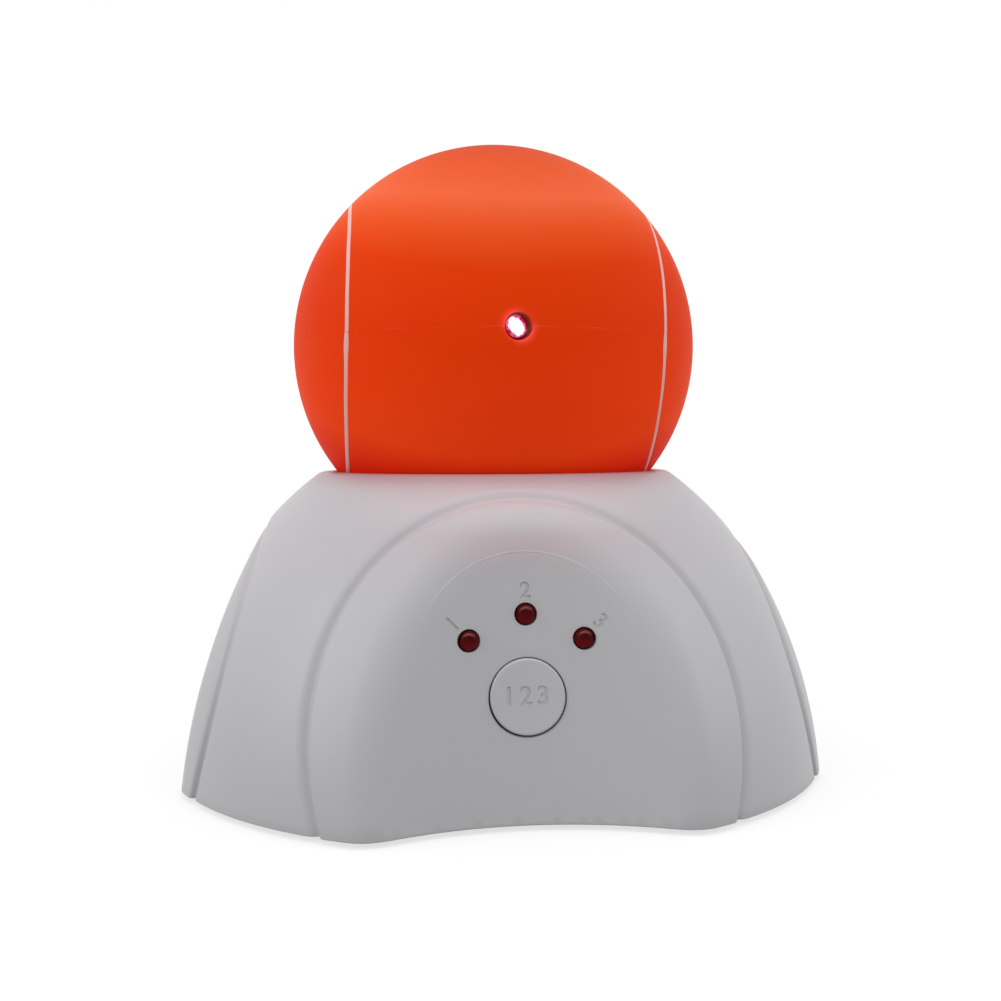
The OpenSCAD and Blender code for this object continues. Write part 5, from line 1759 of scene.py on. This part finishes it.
def screw_mesh(thread_d, length):
    """A screw that points up: its head ends at z = 0 and the tip is at length."""
    r, head_r = thread_d / 2, (thread_d + head_extra) / 2
    head = bend((head_r * 0.5, -head_h), (head_r, -head_h), (head_r, -head_h * 0.3), 6)
    rows = [screw_ring(*q) for q in head]
    rows += [screw_ring(head_r, -0.02), screw_ring(head_r - 0.05, 0), screw_ring(r - thread_depth, 0)]
    for z in np.arange(thread_from, length, screw_pitch / rows_per_turn):
        rows.append(screw_ring(thread_r(r, z) * min(1, 0.3 + 0.7 * (length - z) / tip_len), z))
    rows.append(screw_ring(tip_r, length))
    skin = Skin()
    skin.grid(rows, closed=True)
    skin.patch(rows[0], [list(range(screw_sides))[::-1]])
    skin.patch(rows[-1], [list(range(screw_sides))])
    blank = finished(skin.mesh("screw"), "screw", steel)
    arm, slot = head_r * 0.58, 0.3 + thread_d * 0.07
    cut(blank, [box_mesh("recess", (-a, -b, -head_h - 1), (a, b, -head_h + recess_depth))
                for a, b in ((arm, slot), (slot, arm))])
    made = blank.data
    bpy.data.objects.remove(blank)
    return made


# %% [markdown]
# The screws' nodes in the frame tell how long each set is and at what height it sits. Their
# rings and corners are the same ones that the bosses and posts stand on.

# %% Sets of screws
plate_corners, deck_ring = corners_at(54, 52), ring_at(4, 38, 45)


def screw_set(name, node, body, thread_d, tree, **sizes):
    """Replace a CAD node of screws that all point up by turned ones at the same places."""
    low, high = (corner.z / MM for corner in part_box(node))
    mesh = screw_mesh(thread_d, high - low - head_h)
    piece = grown(mesh, tree, name, steel, (0, 0, low + head_h), Spin=math.pi, **sizes)
    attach(piece, body)
    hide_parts(node)


screw_set("screws_plate", "base_plate_screws", "base", 2.9, on_corners, **plate_corners)
screw_set("screws_deck", "deck_screws", "base", 2.6, in_ring, **deck_ring)
screw_set("screws_turntable", "turntable_screws", "ball", 2.2, in_ring, **turntable_bosses)
screw_set("screws_ball", "ball_screws", "ball", 2.2, in_ring, **columns)

# %% [markdown]
# ## Rubber feet
# The feet are soft rubber discs, pressed into shallow pockets. Two raised rings on the sole
# grip a smooth floor. The disc is turned once, and the corner tree sets four of them.

# %% Feet
foot_r, foot_top = 5.0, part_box("rubber_feet")[1].z / MM
sole = [(0, 0.3), (1.3, 0.3), (1.5, 0.02), (1.6, 0), (2.3, 0), (2.4, 0.02), (2.6, 0.3), (3.1, 0.3),
        (3.3, 0.02), (3.4, 0)]
foot_side = [tuple(q) for q in bend((4.2, 0), (foot_r, 0), (foot_r, 0.8), 6)]
foot_cap = [(foot_r, foot_top - 0.1), (foot_r - 0.1, foot_top), (0, foot_top)]
foot = turned_mesh("foot", sole + foot_side + foot_cap, 64)
feet = grown(foot, on_corners, "feet", foot_rubber, **corners_at(58, 34))
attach(feet, "base")
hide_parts("rubber_feet")

# %% [markdown]
# ## Contact springs
# Each cell presses its flat end against a cone of spring wire. A Geometry Nodes tree winds the
# wire along a spiral, gives it its thickness and stands a copy on each of three points. An
# attribute of the points says how far the copy turns, because the middle cell lies the other way.

# %% Springs wound by a tree
wire_r, wide_r, slim_r, spring_len, contact_gap = 0.4, 4.4, 2.6, 4.6, 0.2
coil_turns, coil_steps, wire_sides = 4.0, 28, 10


def spring_tree():
    g = Grower("wound spring", Turns=coil_turns, Wide=0.004, Slim=0.003, Length=0.004, Wire=0.0004)
    path = g.node("GeometryNodeCurveSpiral", None, {
        "Resolution": coil_steps, "Rotations": g.given("Turns"), "Start Radius": g.given("Wide"),
        "End Radius": g.given("Slim"), "Height": g.given("Length")})
    circle_inputs = {"Resolution": wire_sides, "Radius": g.given("Wire")}
    section = g.node("GeometryNodeCurvePrimitiveCircle", None, circle_inputs)
    sweep = {"Curve": path, "Profile Curve": section, "Fill Caps": True}
    wire = g.node("GeometryNodeCurveToMesh", None, sweep)
    lying = g.node("GeometryNodeTransform", None, {"Geometry": wire, "Rotation": g.vector(Y=math.pi / 2)})
    turn = g.node("GeometryNodeInputNamedAttribute", {"data_type": "FLOAT"}, {"Name": "turn"})
    return g.ends_with(g.copies_on(g.given(), lying, g.vector(Z=turn)))


# %% [markdown]
# The three starting points are read from the boxes of the cells. The coil is a little shorter
# than its pocket, so its last turn just touches the cell.


# %% Springs at the cells
def spring_starts():
    """Where each spring's wide end lies, as a mesh of three points with their turns."""
    points, turns_of = [], []
    for k in (1, 2, 3):
        low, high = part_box(f"aa_cell_{k}")
        way = -1 if k == 2 else 1
        flat_end = high.x if k == 2 else low.x
        start = flat_end - way * (spring_len - wire_r - contact_gap / 2) * MM
        points.append((start, (low.y + high.y) / 2, (low.z + high.z) / 2))
        turns_of.append(math.pi if k == 2 else 0.0)
    mesh = bpy.data.meshes.new("starts")
    mesh.from_pydata(points, [], [])
    mesh.attributes.new("turn", "FLOAT", "POINT").data.foreach_set("value", turns_of)
    return mesh


coil_len = spring_len - 2 * wire_r - contact_gap
springs = grown(spring_starts(), spring_tree(), "springs", steel, Turns=coil_turns, Wide=wide_r * MM,
                Slim=slim_r * MM, Length=coil_len * MM, Wire=wire_r * MM)
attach(springs, "base")
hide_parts("contact_springs")

# %% [markdown]
# ## Battery door
# The door is a moulded plate with soft edges, a hinge bead along its back and two hooks that
# hold it. All of them are boxes and rods with rounded edges that are melted together.

# %% Plate, bead and hooks
door_low, door_high = (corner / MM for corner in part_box("battery_door"))
joints = frame["record"]["behaviour"]["joints"]
hinge = [joint["pos_m"] for joint in joints if joint["name"] == "battery_door_swing"][0]
hinge_y, hinge_z = hinge[1] / MM, hinge[2] / MM
bead_r, door_edge, hook_edge = 1.0, 0.35, 0.2
door_low_z, door_top = hinge_z - bead_r, hinge_z + bead_r
hook_x, hook_half, arm_len, tip_back, hook_t = 18, 4, 4, 1, 0.9
hook_top = door_high.z


def rounded_box(name, low, high, radius):
    bm = bmesh.new()
    bmesh.ops.create_cube(bm, size=1)
    for v in bm.verts:
        v.co = Vector([(a + (c + 0.5) * (b - a)) * MM for c, a, b in zip(v.co, low, high)])
    bmesh.ops.bevel(bm, geom=bm.edges[:], offset=radius * MM, segments=3, profile=0.5, affect="EDGES")
    mesh = bpy.data.meshes.new(name)
    bm.to_mesh(mesh)
    bm.free()
    return mesh


plate_low, plate_high = (door_low.x, door_low.y, door_low_z), (door_high.x, hinge_y, door_top)
door = finished(rounded_box("door", plate_low, plate_high, door_edge), "door", plate_grey)
joins = [rod_mesh("bead", bead_r, (door_low.x, hinge_y, hinge_z), (door_high.x, hinge_y, hinge_z), 40)]
for x in (-hook_x, hook_x):
    left, right_end = x - hook_half, x + hook_half
    joins.append(rounded_box("arm", (left, hinge_y - arm_len, door_top - 0.5),
                             (right_end, hinge_y, hook_top), hook_edge))
    joins.append(rounded_box("tip", (left, hinge_y - tip_back, hook_top - hook_t),
                             (right_end, door_high.y, hook_top), hook_edge))
cut(door, joins, "UNION")

# %% [markdown]
# Four grip grooves lie in the finger notch: a tree lays rounded bars in a row, and the whole
# row is cut out at once. A small sunken triangle shows which way to pull. At the end the
# normals are weighted by the faces' areas, so the large flat faces shade flat up to their edges.

# %% Grip grooves and pointer
rib_count, rib_step, rib_w, rib_depth, rib_half, rib_from = 4, 1.6, 0.8, 0.4, 5.6, 3
pointer_r, pointer_depth, pointer_from = 2.4, 0.3, 15
pointer_at = np.array([0, door_low.y + pointer_from, door_low_z])


def pointing_back(rows):
    return turned_xy(rows, -90) + pointer_at


bar = rounded_box("bar", (-rib_half, 0, -1), (rib_half, rib_w, rib_depth), 0.2)
first_rib = (0, door_low.y + rib_from, door_low_z)
grooves = grown(bar, in_row, "grooves", plate_grey, first_rib, Count=rib_count, Step=rib_step * MM)
pointer_profile = [(0, -1), (pointer_r, -1), (pointer_r, pointer_depth), (0, pointer_depth)]
cut(door, [grooves, turned_mesh("pointer", pointer_profile, 3, pointing_back)], sharp_deg=60)
settled(door, "WEIGHTED_NORMAL", mode="FACE_AREA", weight=100, keep_sharp=True)
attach(door, "battery_door")
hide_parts("battery_door")
print("door:", len(door.data.polygons), "faces")

# %% [markdown]
# ## Posts inside the housing
# Screws need something to hold. Inside the dome stand four posts for the base plate, four
# bosses under the roof for the mechanism's deck, and four posts behind the front panel for the
# control board. They are grown as sets, trimmed by a dome that is half a wall smaller, and
# melted into the shell. Then the pilot holes are drilled.

# %% Posts and bosses
post_r, deck_boss_r, board_post_r = 3.75, 3.5, 2.5
post_foot, deck_top = 6.65, 46.5
board_places = [(x, h) for x in (-15, 15) for h in (10, 38)]


def shell_set(mesh, tree, sizes):
    return grown(mesh, tree, "posts", shell_white, **sizes)


def dome_core(depth):
    """The dome as a solid, offset inwards."""
    profile = [(0, shell_z)]
    for h in np.linspace(0, base_h, 41):
        slope = dome_slope(h)
        reach_in = depth / math.hypot(1, slope)
        profile.append((dome_r(h) - reach_in, shell_z + h + (reach_in * slope if h else 0)))
    return turned_mesh("core", profile + [(0, profile[-1][1])], 120)


def board_rod(x, h, radius, back, front, steps):
    """A rod behind the front panel, at a sideways place and a height, from back to front."""
    return rod_mesh("rod", radius, (x, -back, shell_z + h), (x, -front, shell_z + h), steps)


posts = shell_set(drill(post_r, post_foot, rim_z), on_corners, plate_corners)
cut(posts, [shell_set(drill(deck_boss_r, deck_top, rim_z), in_ring, deck_ring)], "UNION")
cut(posts, [dome_core(wall / 2)], "INTERSECT")
board_posts = [board_rod(x, h, board_post_r, board_front, float(face_y(front_panel, x, h)) - wall / 2, 40)
               for x, h in board_places]
cut(posts, board_posts, "UNION")
cut(shell, [posts], "UNION")

# %% [markdown]
# A pilot hole is a little thinner than the thread that cuts its own way into it, and a little
# deeper than the screw is long.

# %% Pilot holes of the shell
post_pilot_r, deck_pilot_r, board_pilot_r = 1.5, 1.35, 1.15
plate_top, post_pilot_top = 3.5, 16.5
deck_pilot_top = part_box("deck_screws")[1].z / MM + 1

cut(shell, [shell_set(drill(post_pilot_r, plate_top, post_pilot_top), on_corners, plate_corners),
            shell_set(drill(deck_pilot_r, deck_top - 1, deck_pilot_top), in_ring, deck_ring)])
cut(shell, [board_rod(x, h, board_pilot_r, board_front - 1, board_front + 6, 24) for x, h in board_places])
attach(shell, "base")
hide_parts("base_shell")
print("shell:", len(shell.data.polygons), "faces with its posts")

# %% [markdown]
# ## Floor
# The toy stands on an endless white sheet. Rays from the camera see the floor as white, while
# it returns little light to the toy, so the toy's colours stay as written. Far off, the floor
# fades to pure white, so no horizon shows.

# %% Floor
floor_half = 4.0
returned, seen_white = (0.22, 0.22, 0.22, 1), (1, 1, 1, 1)


def camera_share(tree):
    """1 for rays that show the background directly, in a mirror or through glass."""
    path = tree.nodes.new("ShaderNodeLightPath")
    total = path.outputs["Is Camera Ray"]
    for extra in ("Is Glossy Ray", "Is Transmission Ray"):
        either = tree.nodes.new("ShaderNodeMath")
        either.operation = "MAXIMUM"
        tree.links.new(total, either.inputs[0])
        tree.links.new(path.outputs[extra], either.inputs[1])
        total = either.outputs[0]
    return total


def white_floor():
    """White where it is seen, darker for the light that it returns, and fading to white far off."""
    s = Shader("floor_white", Roughness=0.9, Specular_IOR_Level=0.0)
    seen = Link(s, camera_share(s.tree))
    s.set("Base Color", s.mix(seen, returned, seen_white))
    away = s.node("ShaderNodeVectorMath", {"operation": "LENGTH"}, {0: s.place}, output="Value")
    glow = s.node("ShaderNodeEmission", None, {"Color": seen_white, "Strength": 1.0})
    veil = seen * (away.ramp(0.09, 0.26) * 0.3 + 0.7)
    both = s.node("ShaderNodeMixShader", None, {0: veil, 1: Link(s, s.bsdf.outputs[0]), 2: glow})
    s.tree.links.new(both.socket, s.tree.nodes["Material Output"].inputs["Surface"])
    return s.material


floor_mesh = bpy.data.meshes.new("floor")
corners = [(x * floor_half, y * floor_half, 0) for x, y in ((-1, -1), (1, -1), (1, 1), (-1, 1))]
floor_mesh.from_pydata(corners, [], [(0, 1, 2, 3)])
floor_mesh.materials.append(white_floor())
floor = in_scene("floor", floor_mesh)
print("floor:", 2 * floor_half, "m wide")

# %% [markdown]
# ## World and lamps
# The photograph was taken in a light tent: light comes from everywhere, most of it from above.
# A pale world gives the light from all sides, one large soft lamp hangs over the toy, and two
# smaller ones stand at its left and right. Rays from the camera see a world of pure white.

# %% World and lamps
tent_light, tent_seen = 0.8, 1.0
overhead_w, left_w, right_w = 4.0, 3.8, 2.3

world = bpy.data.worlds.new("tent")
bpy.context.scene.world = world
world.use_nodes = True
background = world.node_tree.nodes["Background"]
share = world.node_tree.nodes.new("ShaderNodeMapRange")
world.node_tree.links.new(camera_share(world.node_tree), share.inputs["Value"])
share.inputs["To Min"].default_value = tent_light
share.inputs["To Max"].default_value = tent_seen
world.node_tree.links.new(share.outputs["Result"], background.inputs["Strength"])
background.inputs["Color"].default_value = (1, 1, 1, 1)


def lamp(name, place, aim, width, height, watts):
    """A soft rectangular lamp at place, turned towards aim, both in metres."""
    data = bpy.data.lights.new(name, "AREA")
    data.shape = "RECTANGLE"
    data.size, data.size_y, data.energy = width, height, watts
    light = in_scene(name, data)
    light.location = place
    light.rotation_euler = (Vector(aim) - Vector(place)).to_track_quat("-Z", "Y").to_euler()


lamp("overhead", (0, -0.15, 1.1), (0, 0, 0.05), 1.3, 1.3, overhead_w)
lamp("left", (-1.2, -0.35, 0.55), (0, 0, 0.06), 0.7, 0.9, left_w)
lamp("right", (1.2, -0.35, 0.55), (0, 0, 0.06), 0.7, 0.9, right_w)
bpy.context.scene.view_settings.view_transform = "Standard"
print("lamps:", [light.name for light in bpy.data.lights])
